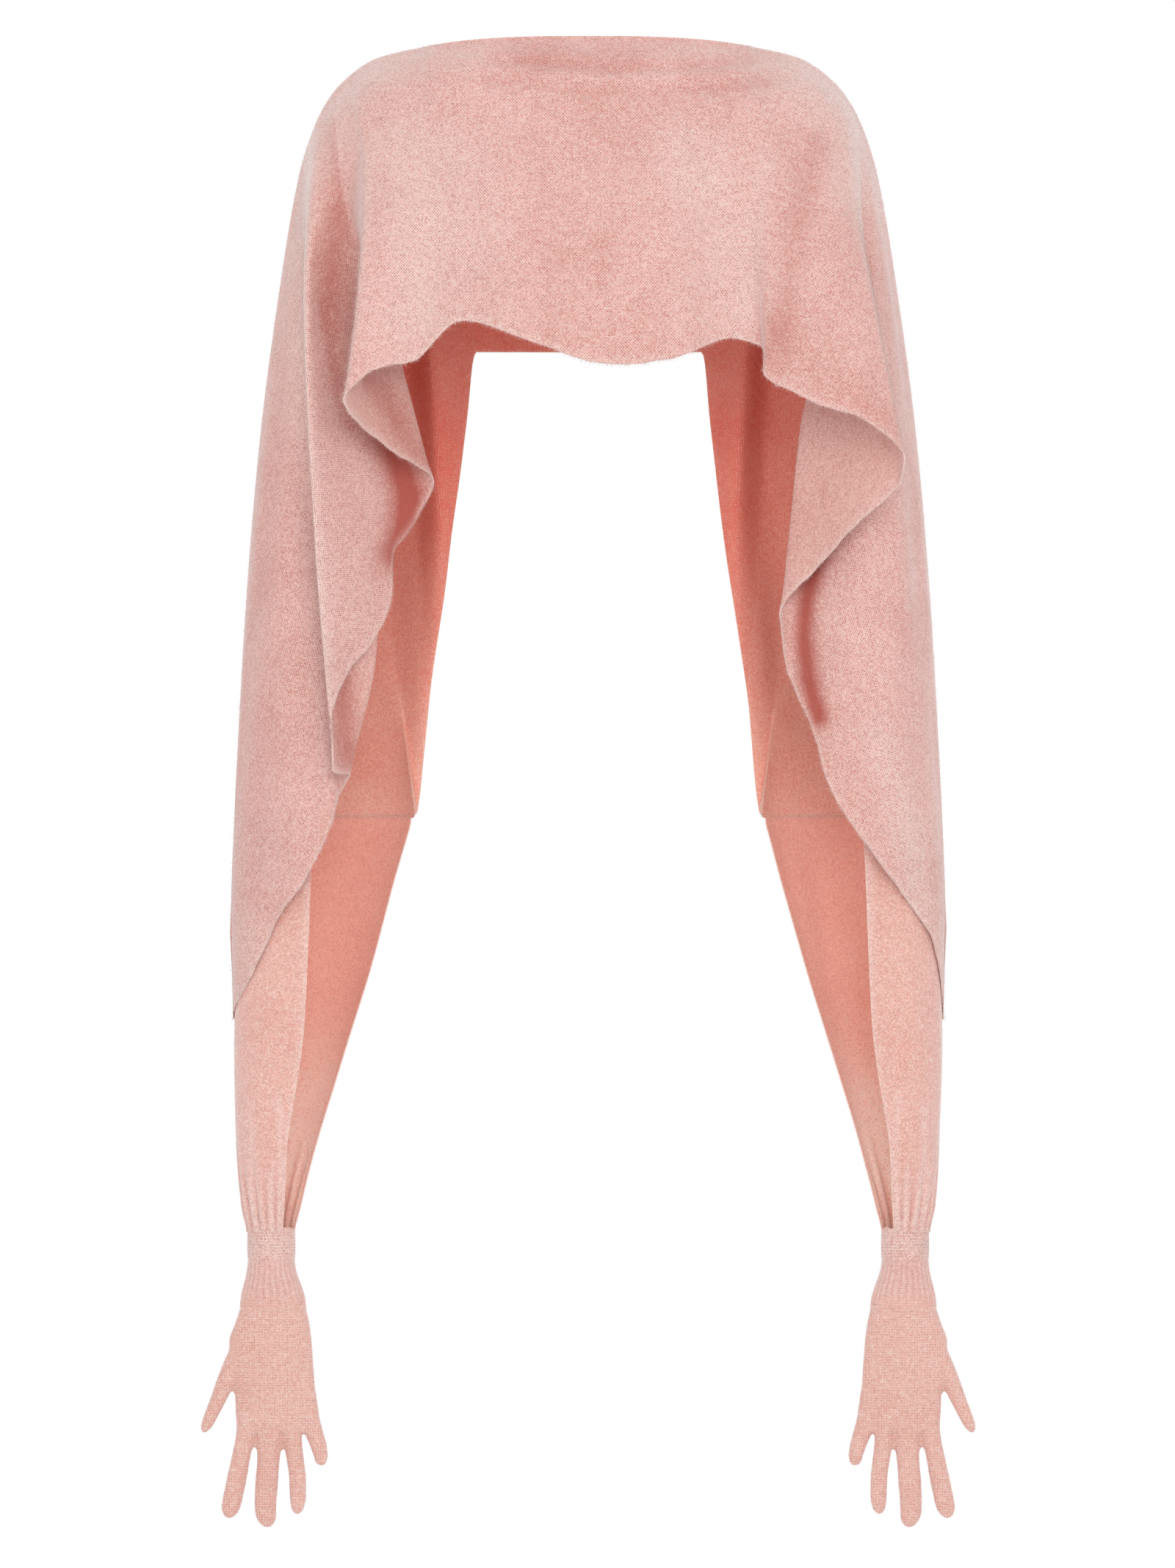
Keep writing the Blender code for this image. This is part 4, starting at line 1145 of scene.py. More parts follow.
def strands(name: str, fibres: tuple, width: float, knit: Knit) -> bpy.types.Object:
    """Thin three-sided fibres that taper to a point.

    Args:
        name: the object's name.
        fibres: the points of each fibre from its root, in metres, and the cloth's tone there.
        width: its width at the root, in millimetres.
        knit: the knit that gives its colour.

    Returns:
        The object.
    """
    paths, tones = fibres
    count, steps = paths.shape[:2]
    way = unit(paths[:, 1] - paths[:, 0])
    side = unit(np.cross(way, np.where(np.abs(way[:, 2:]) < 0.8, [[0.0, 0.0, 1.0]], [[1.0, 0.0, 0.0]])))
    other = np.cross(way, side)
    turns = np.arange(3) * 2 * math.pi / 3
    spread = side[:, None] * np.cos(turns)[:, None] + other[:, None] * np.sin(turns)[:, None]
    taper = np.linspace(1.0, 0.5, steps - 1)[:, None, None] * width * MM / 2
    rings = paths[:, :-1, None] + spread[:, None] * taper
    verts = np.concatenate([rings.reshape(count, -1, 3), paths[:, -1:]], 1)
    size = verts.shape[1]
    shape = [(2, 1, 0)]
    for k in range(steps - 2):
        for j in range(3):
            a, b = 3 * k + j, 3 * k + (j + 1) % 3
            shape += [(a, b, b + 3), (a, b + 3, a + 3)]
    ring = 3 * (steps - 2)
    shape += [(ring + j, ring + (j + 1) % 3, size - 1) for j in range(3)]
    corners = (np.array(shape)[None] + (np.arange(count) * size)[:, None, None]).ravel()
    mesh = bpy.data.meshes.new(name)
    mesh.vertices.add(count * size)
    mesh.vertices.foreach_set("co", verts.ravel())
    mesh.loops.add(len(corners))
    mesh.loops.foreach_set("vertex_index", corners)
    mesh.polygons.add(len(corners) // 3)
    mesh.polygons.foreach_set("loop_start", np.arange(0, len(corners), 3))
    mesh.update(calc_edges=True)
    mesh.shade_smooth()
    add_tone(mesh, np.repeat(tones, size, axis=0))
    mesh.materials.append(fibre_material(knit))
    return new_object(name, mesh)


@dataclass(frozen=True)
class Nap:
    """Loose fibres brushed out of a cloth, with lengths in millimetres.

    lift is how far they lean out of the cloth, and curl how far each one strays from that.
    """

    per_square_cm: float
    length: float
    lift: float = 0.5
    width: float = 0.11
    seed: int = 7
    curl: float = 0.55

    def over(self, name: str, grid: ClothGrid, knit: Knit) -> bpy.types.Object:
        """Fibres all over the outer face of a grid of cloth."""
        return strands(name, self.over_paths(grid), self.width, knit)

    def over_paths(self, grid: ClothGrid) -> tuple:
        """The points and tones of fibres all over the outer face of a grid, fewer where the cloth has
        painted shade.
        """
        points = grid.points
        cells = [points[:-1, :-1], points[1:, :-1], points[1:, 1:], points[:-1, 1:]]
        size = np.linalg.norm(np.cross(cells[2] - cells[0], cells[3] - cells[1]), axis=2) / 2
        out = grid.normals()[:-1, :-1].reshape(-1, 3)
        cells = [c.reshape(-1, 3) for c in cells]
        count = int(size.sum() * CM_PER_METRE**2 * self.per_square_cm)
        rng = np.random.default_rng(self.seed)
        chosen = rng.choice(size.size, count, p=size.ravel() / size.sum())
        u, v = rng.random((2, count, 1))
        shares = ((1 - u) * (1 - v), u * (1 - v), u * v, (1 - u) * v)
        root = sum(cell[chosen] * share for cell, share in zip(cells, shares))
        tone = grid.tone[:-1, :-1].reshape(-1, 3)[chosen]
        shown = rng.random(count) > 2.2 * tone[:, PAINTED_SHADE_PART] - 0.25
        return self.grown(root[shown], out[chosen][shown], rng), tone[shown]

    def grown(self, root: np.ndarray, out: np.ndarray, rng: np.random.Generator) -> np.ndarray:
        """The fibres that grow from a cloth.

        Args:
            root: where each one starts, in metres.
            out: the outward direction there.
            rng: the source of random numbers.

        Returns:
            The two ends of each fibre.
        """
        count = len(root)
        way = out * self.lift + rng.normal(0.0, self.curl, (count, 3)) + [0.0, 0.0, -0.15]
        way = unit(way + out * np.maximum(0.0, 0.12 - (way * out).sum(1, keepdims=True)))
        long = self.length * MM * (0.35 + 0.65 * rng.random((count, 1)) ** 2)
        root = root - out * 0.3 * MM
        return np.stack([root, root + way * long], 1)


@dataclass(frozen=True)
class HemHairs:
    """Curly fibres that hang from a hem, with lengths in millimetres.

    curl is how far each step of one strays.
    """

    per_cm: float = 9.0
    length: float = 7.0
    width: float = 0.14
    seed: int = 21
    curl: float = 0.5
    steps: int = 3

    def along(self, name: str, grid: ClothGrid, knit: Knit) -> bpy.types.Object:
        """Fibres along the foot of a grid of cloth.

        Args:
            name: the object's name.
            grid: the cloth.
            knit: the knit that gives their colour.

        Returns:
            The object.
        """
        rng = np.random.default_rng(self.seed)
        foot = grid.points[:, -1]
        places = lengths_along(foot)
        count = int(places[-1] * CM_PER_METRE * self.per_cm)
        at = np.sort(rng.uniform(0.0, places[-1], count))
        down = unit(foot - grid.points[:, -3])
        root, lead = (
            np.stack([np.interp(at, places, values[:, k]) for k in range(3)], 1)
            for values in (foot, down)
        )
        way = unit(lead + rng.normal(0.0, self.curl, (count, 3)))
        long = self.length * MM * (0.25 + 0.75 * rng.random((count, 1)) ** 2)
        line = [root - lead * 0.5 * MM]
        for _ in range(self.steps):
            line.append(line[-1] + way * long / self.steps)
            way = unit(way + rng.normal(0.0, self.curl, (count, 3)) + [0.0, 0.0, -0.05])
        spots = np.searchsorted(places, at).clip(0, len(foot) - 1)
        return strands(name, (np.stack(line, 1), grid.tone[spots, -1]), self.width, knit)


@dataclass
class FrontPanel:
    """The front of the cape, one sheet from arm to arm with a long waved hem.

    A pair of numbers is the span in millimetres over which something fades in or out.
    """

    rows: int = 74
    detail: int = 5
    wall: float = 1.1
    centre: int = 0
    loose_below_top: tuple = (4.0, 22.0)
    loose_beside_seam: tuple = (4.0, 24.0)
    round_above_hem: tuple = (2.0, 14.0)
    rounding: int = 5
    ridges_from: tuple = (60.0, 120.0)
    ridge_rounding: int = 90
    ridge_columns: float = 9.0
    ridge_round_to: tuple = (350.0, 520.0)
    wave_height: float = 0.55
    wave_seed: int = 11
    hem_wander: float = 0.32
    hem_seed: int = 17
    # Pale fuzz with painted highlight along the hem, and a warmer foot above it.
    pale_hem: float = 4.0
    warm_hem: float = 30.0
    hairs_from: tuple = (95.0, 190.0)
    hairs_columns: int = 3
    nap: Nap = Nap(14.0, 3.8, lift=0.65, width=0.2, seed=3)
    ridge_nap: Nap = Nap(110.0, 6.0, lift=0.7, width=0.2, seed=4)
    hairs: HemHairs = HemHairs(per_cm=36.0, length=5.2, width=0.22, seed=5)

    def side(self, side: int) -> np.ndarray:
        """The fine grid of one side, in metres."""
        folds = [FRONT_CENTRE, *FRONT_SIDES[side], seam_end(FRONT_SEAM_END, 1)]
        return to_metres(over_sleeve(drop_grid(folds, self.rows, 1, 0, self.detail)), side)

    def columns_to(self, side: int, name: str) -> int:
        """How many columns lie between the centre and a named fold of one side."""
        count = 0
        for fold in FRONT_SIDES[side]:
            count += fold.cols * self.detail
            if fold.name == name:
                return count
        raise ValueError(f"no fold is named {name}")

    def column(self, side: int, name: str) -> int:
        """The column that runs down a named fold of one side."""
        return self.centre + side * self.columns_to(side, name)

    def grid(self) -> ClothGrid:
        """The whole front, with its creases and tone."""
        right, left = self.side(-1), self.side(1)
        self.centre = len(right) - 1
        cloth = ClothGrid(np.concatenate([right[::-1], left[1:]]), flip=True)
        loose = smooth_step(cloth.from_top(), *self.loose_below_top)
        loose *= smooth_step(np.abs(cloth.points[..., 1]) / MM, *self.loose_beside_seam)
        ridge = smooth_step(cloth.down, *self.ridges_from)
        ridge *= 1.0 - smooth_step(cloth.down, *self.ridge_round_to)
        across = np.arange(len(cloth.points)) - self.column(-1, "second ridge")
        ridge *= fade(across, self.ridge_columns)[:, None]
        cloth.relax(loose * smooth_step(cloth.from_hem(), *self.round_above_hem), self.rounding)
        cloth.relax(ridge, self.ridge_rounding)
        cloth.pressed(FRONT_CREASES, loose)
        cloth.uneven(self.wave_seed, self.wave_height, loose)
        cloth.ragged(self.hem_seed, self.hem_wander)
        self.paint(cloth)
        return cloth

    def paint(self, cloth: ClothGrid) -> None:
        """Paints highlights along the ridges of the folds, pale fuzz with painted highlight at the hem, a
        warmer foot, and the painted shades and highlights of the shade table.
        """
        shown = smooth_step(cloth.down, *self.ridges_from)
        # Painted highlight along the ridges of the folds.
        for ridge in RIDGES:
            line = cloth.points[self.column(ridge.side, ridge.fold)]
            gap = np.linalg.norm(cloth.points - line, axis=2) / MM
            cloth.tone[..., HIGHLIGHT_AND_FUZZ_PART] += ridge.pale * fade(gap, ridge.wide) * shown
        hem = cloth.from_hem()
        # Pale fuzz with painted highlight at the hem.
        cloth.tone[..., HIGHLIGHT_AND_FUZZ_PART] += 0.5 * fade(hem, self.pale_hem)
        cloth.tone[..., FOOT_PART] = 0.4 * fade(hem, self.warm_hem)
        # Painted shade, and painted highlight where a shade's deep is below 0.
        for shade in SHADES:
            here = shade.deep * fade(cloth.near(shade.path), shade.wide)
            here *= self.reach(shade, len(cloth.points))[:, None]
            cloth.tone[..., PAINTED_SHADE_PART] += np.maximum(here, 0.0)
            cloth.tone[..., HIGHLIGHT_AND_FUZZ_PART] += np.maximum(-here, 0.0)
        cloth.tone = np.clip(cloth.tone, 0.0, [0.85, 1.0, 1.0])

    def reach(self, shade: Shade, columns: int) -> np.ndarray:
        """Where across the columns a shade falls, softly from its first fold to its last."""
        if not shade.side:
            return np.ones(columns)
        at = (np.arange(columns) - self.centre) * shade.side
        first, last = (self.columns_to(shade.side, name) for name in (shade.first, shade.last))
        return smooth_step(at, first - 2, first + 2) * (1.0 - smooth_step(at, last - 2, last + 2))

    def ridge_hairs(self, cloth: ClothGrid) -> bpy.types.Object:
        """Longer fibres on the ridges of the folds, fading in below the shoulders."""
        rng = np.random.default_rng(self.ridge_nap.seed)
        pieces = []
        for ridge in RIDGES:
            column = self.column(ridge.side, ridge.fold)
            near = slice(column - self.hairs_columns, column + self.hairs_columns + 1)
            start = int(np.searchsorted(cloth.down[column], self.hairs_from[0]))
            strip = ClothGrid(cloth.points[near, start:], flip=True, tone=cloth.tone[near, start:])
            paths, tones = self.ridge_nap.over_paths(strip)
            kept = rng.random(len(paths)) < smooth_step(-paths[:, 0, 2] / MM, *self.hairs_from)
            pieces.append((paths[kept], tones[kept]))
        fibres = tuple(np.concatenate(part) for part in zip(*pieces))
        return strands("front_ridge_hairs", fibres, self.ridge_nap.width, BRUSHED)

    def build(self) -> None:
        """Makes the front and its fibres."""
        cloth = self.grid()
        made = cloth_object("front_cloth", cloth)
        flat = flatten(made, cloth, self.centre)
        area = area_of(made)
        add_shell(made, Faces(BRUSHED, BRUSHED_INSIDE, HEM), self.wall)
        place(made, Slot.FRONT, *FRONT_NODES)
        fuzz = self.nap.over("front_nap", cloth, BRUSHED)
        ridges = self.ridge_hairs(cloth)
        hairs = self.hairs.along("front_hem_hairs", cloth, HEM)
        for piece in (fuzz, ridges, hairs):
            place(piece, Slot.FRONT)
        LOG.info("front cut %.3f x %.3f m, %.3f m2", *flat, area)


@dataclass
class BackPanel:
    """The back of the cape and the backs of the upper arms.

    A pair of numbers is the span in millimetres over which something fades in or out.
    """

    rows: int = 66
    detail: int = 6
    wall: float = 1.1
    loose_below_top: tuple = (4.0, 22.0)
    loose_beside_seam: tuple = (4.0, 20.0)
    loose_above_sleeve: tuple = (SLEEVE_TOP - 90.0, SLEEVE_TOP - 8.0)
    wave_height: float = 0.6
    wave_seed: int = 31
    # Pale fuzz with painted highlight at the free hem; painted shade deeper towards the top and beside the
    # inner edge.
    pale_hem: float = 1.6
    painted_shade_to: tuple = (180.0, 560.0)
    inner_edge: float = 106.0
    edge_wide: float = 16.0
    edge_from: tuple = (250.0, 300.0)
    edge_to: tuple = (470.0, 540.0)
    foot_from: tuple = (SLEEVE_TOP - 50.0, SLEEVE_TOP)
    nap: Nap = Nap(7.0, 3.8, lift=0.65, width=0.2, seed=13)
    hairs: HemHairs = HemHairs(per_cm=9.0, length=3.0, seed=15)

    def grid(self) -> ClothGrid:
        """The whole back, with its creases and tone."""
        folds = [BACK_CENTRE, *BACK_SIDE, seam_end(BACK_SEAM_END, -1)]
        half = drop_grid(folds, self.rows, -1, SEAM_STRAIGHT, self.detail)
        half[..., 2] = np.minimum(half[..., 2], SLEEVE_TOP - SEAM_GAP / 2)
        half = meet_sleeve(half)
        cloth = ClothGrid(np.concatenate([to_metres(half, -1)[::-1], to_metres(half, 1)[1:]]), flip=False)
        loose = smooth_step(cloth.from_top(), *self.loose_below_top)
        loose *= 1.0 - smooth_step(cloth.down, *self.loose_above_sleeve)
        loose *= smooth_step(np.abs(cloth.points[..., 1]) / MM, *self.loose_beside_seam)
        cloth.pressed(BACK_CREASES, loose)
        cloth.uneven(self.wave_seed, self.wave_height, loose)
        self.paint(cloth)
        return cloth

    def hangs(self, cloth: ClothGrid) -> np.ndarray:
        """Which columns end in a free hem, and not at a sleeve."""
        return cloth.down[:, -1] < SLEEVE_TOP - 4.0

    def paint(self, cloth: ClothGrid) -> None:
        """Paints pale fuzz with painted highlight at the free hem, painted shade deeper towards the top
        and beside the inner edge, and the foot's share near the sleeve.
        """
        down = cloth.down
        # Pale fuzz with painted highlight at the free hem.
        hem = fade(cloth.from_hem(), self.pale_hem) * self.hangs(cloth)[:, None]
        cloth.tone[..., HIGHLIGHT_AND_FUZZ_PART] = 0.45 * hem
        # Painted shade, deeper towards the top and beside the inner edge.
        beside = fade(np.abs(cloth.out) - self.inner_edge, self.edge_wide)
        beside *= smooth_step(down, *self.edge_from) * (1.0 - smooth_step(down, *self.edge_to))
        cloth.tone[..., PAINTED_SHADE_PART] = 0.65 * (1.0 - smooth_step(down, *self.painted_shade_to)) + 0.35 * beside
        cloth.tone[..., FOOT_PART] = smooth_step(down, *self.foot_from)

    def build(self) -> None:
        """Makes the back and its fibres."""
        cloth = self.grid()
        made = cloth_object("back_cloth", cloth)
        flat = flatten(made, cloth, len(cloth.points) // 2)
        area = area_of(made)
        add_shell(made, Faces(BACK_OUT, BACK_INSIDE, HEM), self.wall)
        place(made, Slot.BACK, *BACK_NODES)
        fuzz = self.nap.over("back_nap", cloth, BACK_OUT)
        hanging = self.hangs(cloth)
        hem = ClothGrid(cloth.points[hanging], flip=False, tone=cloth.tone[hanging])
        hairs = self.hairs.along("back_hem_hairs", hem, HEM)
        for piece in (fuzz, hairs):
            place(piece, Slot.BACK)
        LOG.info("back cut %.3f x %.3f m, %.3f m2", *flat, area)


@dataclass
class Sleeve:
    """A sheer forearm piece, open along the inner front and gathered at its foot.

    A pair of numbers is the span in millimetres, or in degrees round it, of a fade.
    """

    side: int
    word: str
    columns: int = 120
    rows: int = 90
    fine_from: float = 790.0
    lap: float = 2.5
    wall: float = 0.9
    tuck: float = 1.7
    tucked: tuple = (700.0, 770.0)
    tuck_deg: tuple = (-45.0, 0.0)
    top_inset: float = 0.3
    foot_inset: float = 0.7
    foot_span: tuple = (CUFF_TOP - 20.0, CUFF_TOP - 1.0)
    gathers_ease: tuple = (CUFF_TOP - 13.0, CUFF_TOP)
    loose_below_top: tuple = (10.0, 60.0)
    loose_above_foot: tuple = (20.0, 90.0)
    wave_height: float = 0.7
    # Pale fuzz with painted highlight on the free edges, painted shade near the top, and a foot that is
    # painted light on the inner face.
    pale_edge: float = 2.2
    painted_shade_to: tuple = (SLEEVE_TOP + 20.0, SLEEVE_TOP + 110.0)
    foot_from: tuple = (700.0, 860.0)
    nap: Nap = Nap(7.0, 2.8, lift=0.6, width=0.16, seed=23)

    def depths(self) -> np.ndarray:
        """The depths of a column's points, closer together in the gathers."""
        half = self.rows // 2
        above = np.linspace(SLEEVE_TOP - self.lap, self.fine_from, half, endpoint=False)
        below = np.linspace(self.fine_from, CUFF_TOP - SEAM_GAP / 2, self.rows - half)
        return np.concatenate([above, below])

    def gathers(self, along: float, down: np.ndarray) -> tuple:
        """The pleats at one place round the sleeve.

        Args:
            along: the place, from 0 at its back edge to 1 at its front edge.
            down: the depths of the points there.

        Returns:
            How far out they move the points, in millimetres, and their painted highlight beside each pleat
            and painted shade in its dip.
        """
        out, pale, deep = np.zeros((3, len(down)))
        for g in GATHERS_IN[self.word]:
            fall = smooth_step(down, g.start, GATHERS_FULL)
            fall = fall * (1.0 - 0.55 * smooth_step(down, *self.gathers_ease))
            dip = fall * fade(along - g.along, g.wide)
            out -= g.deep * dip
            # Painted highlight beside each pleat, painted shade in its dip.
            pale += 0.1 * g.deep * fall * fade(abs(along - g.along) - 1.9 * g.wide, g.wide)
            deep += 0.09 * g.deep * dip
        return out, pale, deep

    def grid(self) -> ClothGrid:
        """The sleeve from its back edge round the outside to its front edge."""
        down = self.depths()
        held = np.clip(down, SLEEVE_TOP + SEAM_STRAIGHT, CUFF_TOP - SEAM_STRAIGHT)
        centre, half, deep, slit = sleeve_section(held)
        ends = -self.top_inset * (1.0 - smooth_step(down, SLEEVE_TOP, SLEEVE_TOP + 6.0))
        ends -= self.foot_inset * smooth_step(down, *self.foot_span)
        tuck = self.tuck * (1.0 - smooth_step(down, *self.tucked))
        grid = np.empty((self.columns + 1, self.rows, 3))
        tone = np.zeros(grid.shape)
        for c, along in enumerate(np.linspace(0.0, 1.0, self.columns + 1)):
            angle = math.radians(INNER_EDGE_DEG) * (1 - along) + slit * along
            wave, tone[c, :, HIGHLIGHT_AND_FUZZ_PART], tone[c, :, PAINTED_SHADE_PART] = self.gathers(along, down)
            wave += ends
            tucked = tuck * smooth_step(np.degrees(angle), *self.tuck_deg)
            grid[c, :, 0] = centre + (half + wave - tucked) * np.cos(angle)
            grid[c, :, 1] = (deep + wave) * np.sin(angle)
            grid[c, :, 2] = down
        cloth = ClothGrid(to_metres(grid, self.side), flip=self.side < 0, tone=tone)
        loose = smooth_step(cloth.from_top(), *self.loose_below_top)
        loose *= smooth_step(cloth.from_hem(), *self.loose_above_foot)
        cloth.uneven(41 if self.side < 0 else 43, self.wave_height, loose)
        self.paint(cloth)
        return cloth

    def paint(self, cloth: ClothGrid) -> None:
        """Pales the two free edges with fuzz and painted highlight, paints highlights on the ridges above
        the band and a little shade at the top, and sets the foot's share, painted light on the inner face.
        """
        # Pale fuzz with painted highlight along the two free edges.
        edge = np.minimum(np.arange(self.columns + 1), np.arange(self.columns + 1)[::-1])[:, None]
        cloth.tone[..., HIGHLIGHT_AND_FUZZ_PART] += 0.5 * fade(edge, self.pale_edge)
        fore = cloth.points[..., 1] < 0.0
        # Painted highlight on the ridges above the band, on the front half.
        for ridge in WRIST_RIDGE_HIGHLIGHTS:
            path = [(self.side * x, down) for x, down in ridge.path]
            cloth.tone[..., HIGHLIGHT_AND_FUZZ_PART] += fore * -ridge.deep * fade(cloth.near(path), ridge.wide)
        # Painted shade at the top.
        cloth.tone[..., PAINTED_SHADE_PART] += 0.12 * (1.0 - smooth_step(cloth.down, *self.painted_shade_to))
        # The foot's share; on the inner face its colour is painted light.
        cloth.tone[..., FOOT_PART] = smooth_step(cloth.down, *self.foot_from)
        cloth.tone = np.clip(cloth.tone, 0.0, [0.8, 0.6, 1.0])

    def build(self) -> None:
        """Makes the sleeve and its fibres."""
        cloth = self.grid()
        made = cloth_object(f"sleeve_cloth_{self.word}", cloth)
        flat = flatten(made, cloth, len(cloth.points) // 2)
        area = area_of(made)
        add_shell(made, Faces(SHEER, SHEER_INSIDE, HEM), self.wall)
        place(made, Slot.SLEEVE, f"sleeve_{self.word}")
        fuzz = self.nap.over(f"sleeve_nap_{self.word}", cloth, SHEER)
        place(fuzz, Slot.SLEEVE)
        LOG.info("sleeve cut %.3f x %.3f m, %.3f m2", *flat, area)


def round_tube(centre: object, halves: tuple, angle: np.ndarray, down: np.ndarray) -> np.ndarray:
    """An oval tube round the wrist.

    Args:
        centre: how far out its middle is, at each depth or once.
        halves: its half widths across and front to back, at each point.
        angle: the angles round it.
        down: the depth of each point, or of each row.

    Returns:
        Columns of points (out, fore, down).
    """
    across, deep = halves
    grid = np.empty((*across.shape, 3))
    grid[..., 0] = centre + across * np.cos(angle)[:, None]
    grid[..., 1] = deep * np.sin(angle)[:, None]
    grid[..., 2] = down
    return grid


@dataclass
class WristTube:
    """What the band and the ribbed wrist share: how a tube is dressed and handed over."""

    side: int
    word: str
    wall: float = 1.0
    length: float = 0.02
    knit: Knit = BAND
    nap: Nap = Nap(30.0, 2.6, lift=0.6, width=0.12, seed=71)

    def cloth(self, grid: np.ndarray) -> ClothGrid:
        """The tube on this side, from points (out, fore, down)."""
        return ClothGrid(to_metres(grid, self.side), flip=self.side < 0, closed=True)

    def dressed(self, cloth: ClothGrid, name: str, slot: Slot, node: str, held_by: str) -> None:
        """Makes the tube and its fibres from its points.

        Args:
            cloth: the points and their tone.
            name: the name of the piece.
            slot: its material slot.
            node: the node that it stands for.
            held_by: not used.
        """
        made = cloth_object(f"{name}_{self.word}", cloth)
        area = area_of(made)
        add_shell(made, Faces(self.knit, self.knit, self.knit), self.wall)
        place(made, slot, node)
        fuzz = self.nap.over(f"{name}_nap_{self.word}", cloth, self.knit)
        place(fuzz, slot)


@dataclass
class WristBand(WristTube):
    """The band of upright v stitches that holds the gathers."""

    wales: int = 44
    steps: int = 6
    rows: int = 34
    course: float = 2.5
    relief: float = 0.3
    puff: float = 0.3
    inset: float = 0.9
    wall: float = 1.6
    length: float = (CUFF_FOOT - CUFF_TOP) * MM
    knit: Knit = BAND
    nap: Nap = Nap(45.0, 2.6, lift=0.6, width=0.12, seed=71)

    def top_edge(self, angle: np.ndarray) -> np.ndarray:
        """How far the wavy top edge laps up over the gathers, in millimetres."""
        lap = 1.6 + 0.5 * np.sin(7.0 * angle + self.side) + 0.4 * np.sin(13.0 * angle)
        return lap + 2.4 * fade(angle - 2.4, 0.45)

    def build(self) -> None:
        """Makes the band."""
        angle = full_circle(self.wales * self.steps)
        share = np.linspace(0.0, 1.0, self.rows)
        down = CUFF_TOP + share[None] * (CUFF_FOOT - CUFF_TOP)
        down = down - self.top_edge(angle)[:, None] * (1.0 - share[None]) ** 2
        wale = np.abs((angle * self.wales / FULL_TURN) % 1.0 - 0.5)[:, None]
        row = down / self.course + 0.2 * np.sin(3.0 * angle + 1.0)[:, None]
        v_rows = np.cos(FULL_TURN * (row + 1.1 * wale))
        bulge = np.sin(math.pi * share)
        out = self.relief * (0.6 * v_rows - 2.6 * (wale - 0.25)) * bulge**0.4
        out = out + self.puff * bulge**0.7 - self.inset
        halves = (CUFF_HALF[0] + out, CUFF_HALF[1] + out)
        cloth = self.cloth(round_tube(CUFF_CENTRE, halves, angle, down))
        # Painted highlight on the v stitches and the middle of the band.
        patchy = 0.6 + 0.4 * np.sin(9.0 * angle[:, None] + 5.0 * share[None])
        cloth.tone[..., HIGHLIGHT_AND_FUZZ_PART] = np.clip((0.5 * v_rows * patchy + 0.4) * bulge[None], 0.0, 0.7)
        self.dressed(cloth, "wrist_band", Slot.BAND, f"cuff_{self.word}", f"sleeve_cloth_{self.word}")


def palm_ring(level: Level, count: int = 48) -> np.ndarray:
    """Points round a palm, all at one depth.

    Args:
        level: the palm's sizes there.
        count: how many points.

    Returns:
        The points (out, fore, down): across the front, a side, across the back, a side.
    """
    angle = full_circle(count)
    across, rise = (
        np.sign(wave) * np.abs(wave) ** (2.0 / PALM_ROUNDNESS) for wave in (np.cos(angle), np.sin(angle))
    )
    middle, half = (level.inner + level.outer) / 2, (level.outer - level.inner) / 2
    return np.stack([middle + half * across, level.thick * rise, np.full(count, level.down)], -1)


@dataclass
class RibbedWrist(WristTube):
    """The ribbed wrist of a glove, with ribs that wander a little."""

    ribs: int = 27
    steps: int = 8
    rows: int = 34
    lap: float = 2.5
    relief: float = 0.32
    inset: float = 0.85
    flare_out: float = 1.15
    waist: float = 0.2
    wall: float = 1.0
    length: float = (RIB_FOOT - CUFF_FOOT) * MM
    knit: Knit = RIBBED
    nap: Nap = Nap(30.0, 2.6, lift=0.6, width=0.12, seed=73)

    def rib_strength(self, angle: np.ndarray) -> np.ndarray:
        """How strong the rib at each angle is: no two are alike."""
        rng = np.random.default_rng(53 if self.side < 0 else 59)
        strong = 0.55 + 0.45 * rng.random(self.ribs)
        return strong[(angle * self.ribs / FULL_TURN).astype(int) % self.ribs][:, None]

    def build(self) -> None:
        """Makes the ribbed wrist, from the band's oval to the top of the palm."""
        angle = full_circle(self.ribs * self.steps)
        share = np.linspace(0.0, 1.0, self.rows)
        down = CUFF_FOOT + share * (RIB_FOOT + self.lap - CUFF_FOOT)
        strong = self.rib_strength(angle)
        drift = 0.22 * np.sin(FULL_TURN * share[None] * 1.3 + angle[:, None] * 3.0)
        wave = np.cos(self.ribs * angle[:, None] + drift * 2.0)
        ends = smooth_step(share, 0.0, 0.1) * (1.0 - smooth_step(share, 0.6, 0.95))
        flare = smooth_step(down, CUFF_FOOT, RIB_FOOT)
        out = (self.relief * strong * wave - 0.1) * ends - self.inset + self.flare_out * flare
        out = out - self.waist * fade(share - 0.35, 0.25)[None]
        palm = palm_ring(PALM_LEVELS[0])
        halves = [
            CUFF_HALF[k] * (1 - flare) + np.ptp(palm[:, k]) / 2 * flare + out for k in range(2)
        ]
        centre = CUFF_CENTRE * (1 - flare) + (palm[:, 0].max() + palm[:, 0].min()) / 2 * flare
        cloth = self.cloth(round_tube(centre, halves, angle, down))
        # Painted highlight on the rib crests and painted shade between them.
        cloth.tone[..., HIGHLIGHT_AND_FUZZ_PART] = np.clip(0.3 * wave * strong * ends, 0.0, 1.0)
        cloth.tone[..., PAINTED_SHADE_PART] = np.clip(-0.22 * wave * ends, 0.0, 1.0)
        cloth.tone[..., FOOT_PART] = smooth_step(share, 0.5, 0.95)
        self.dressed(cloth, "ribbed_wrist", Slot.RIB, f"glove_{self.word}_rib", f"wrist_band_{self.word}")


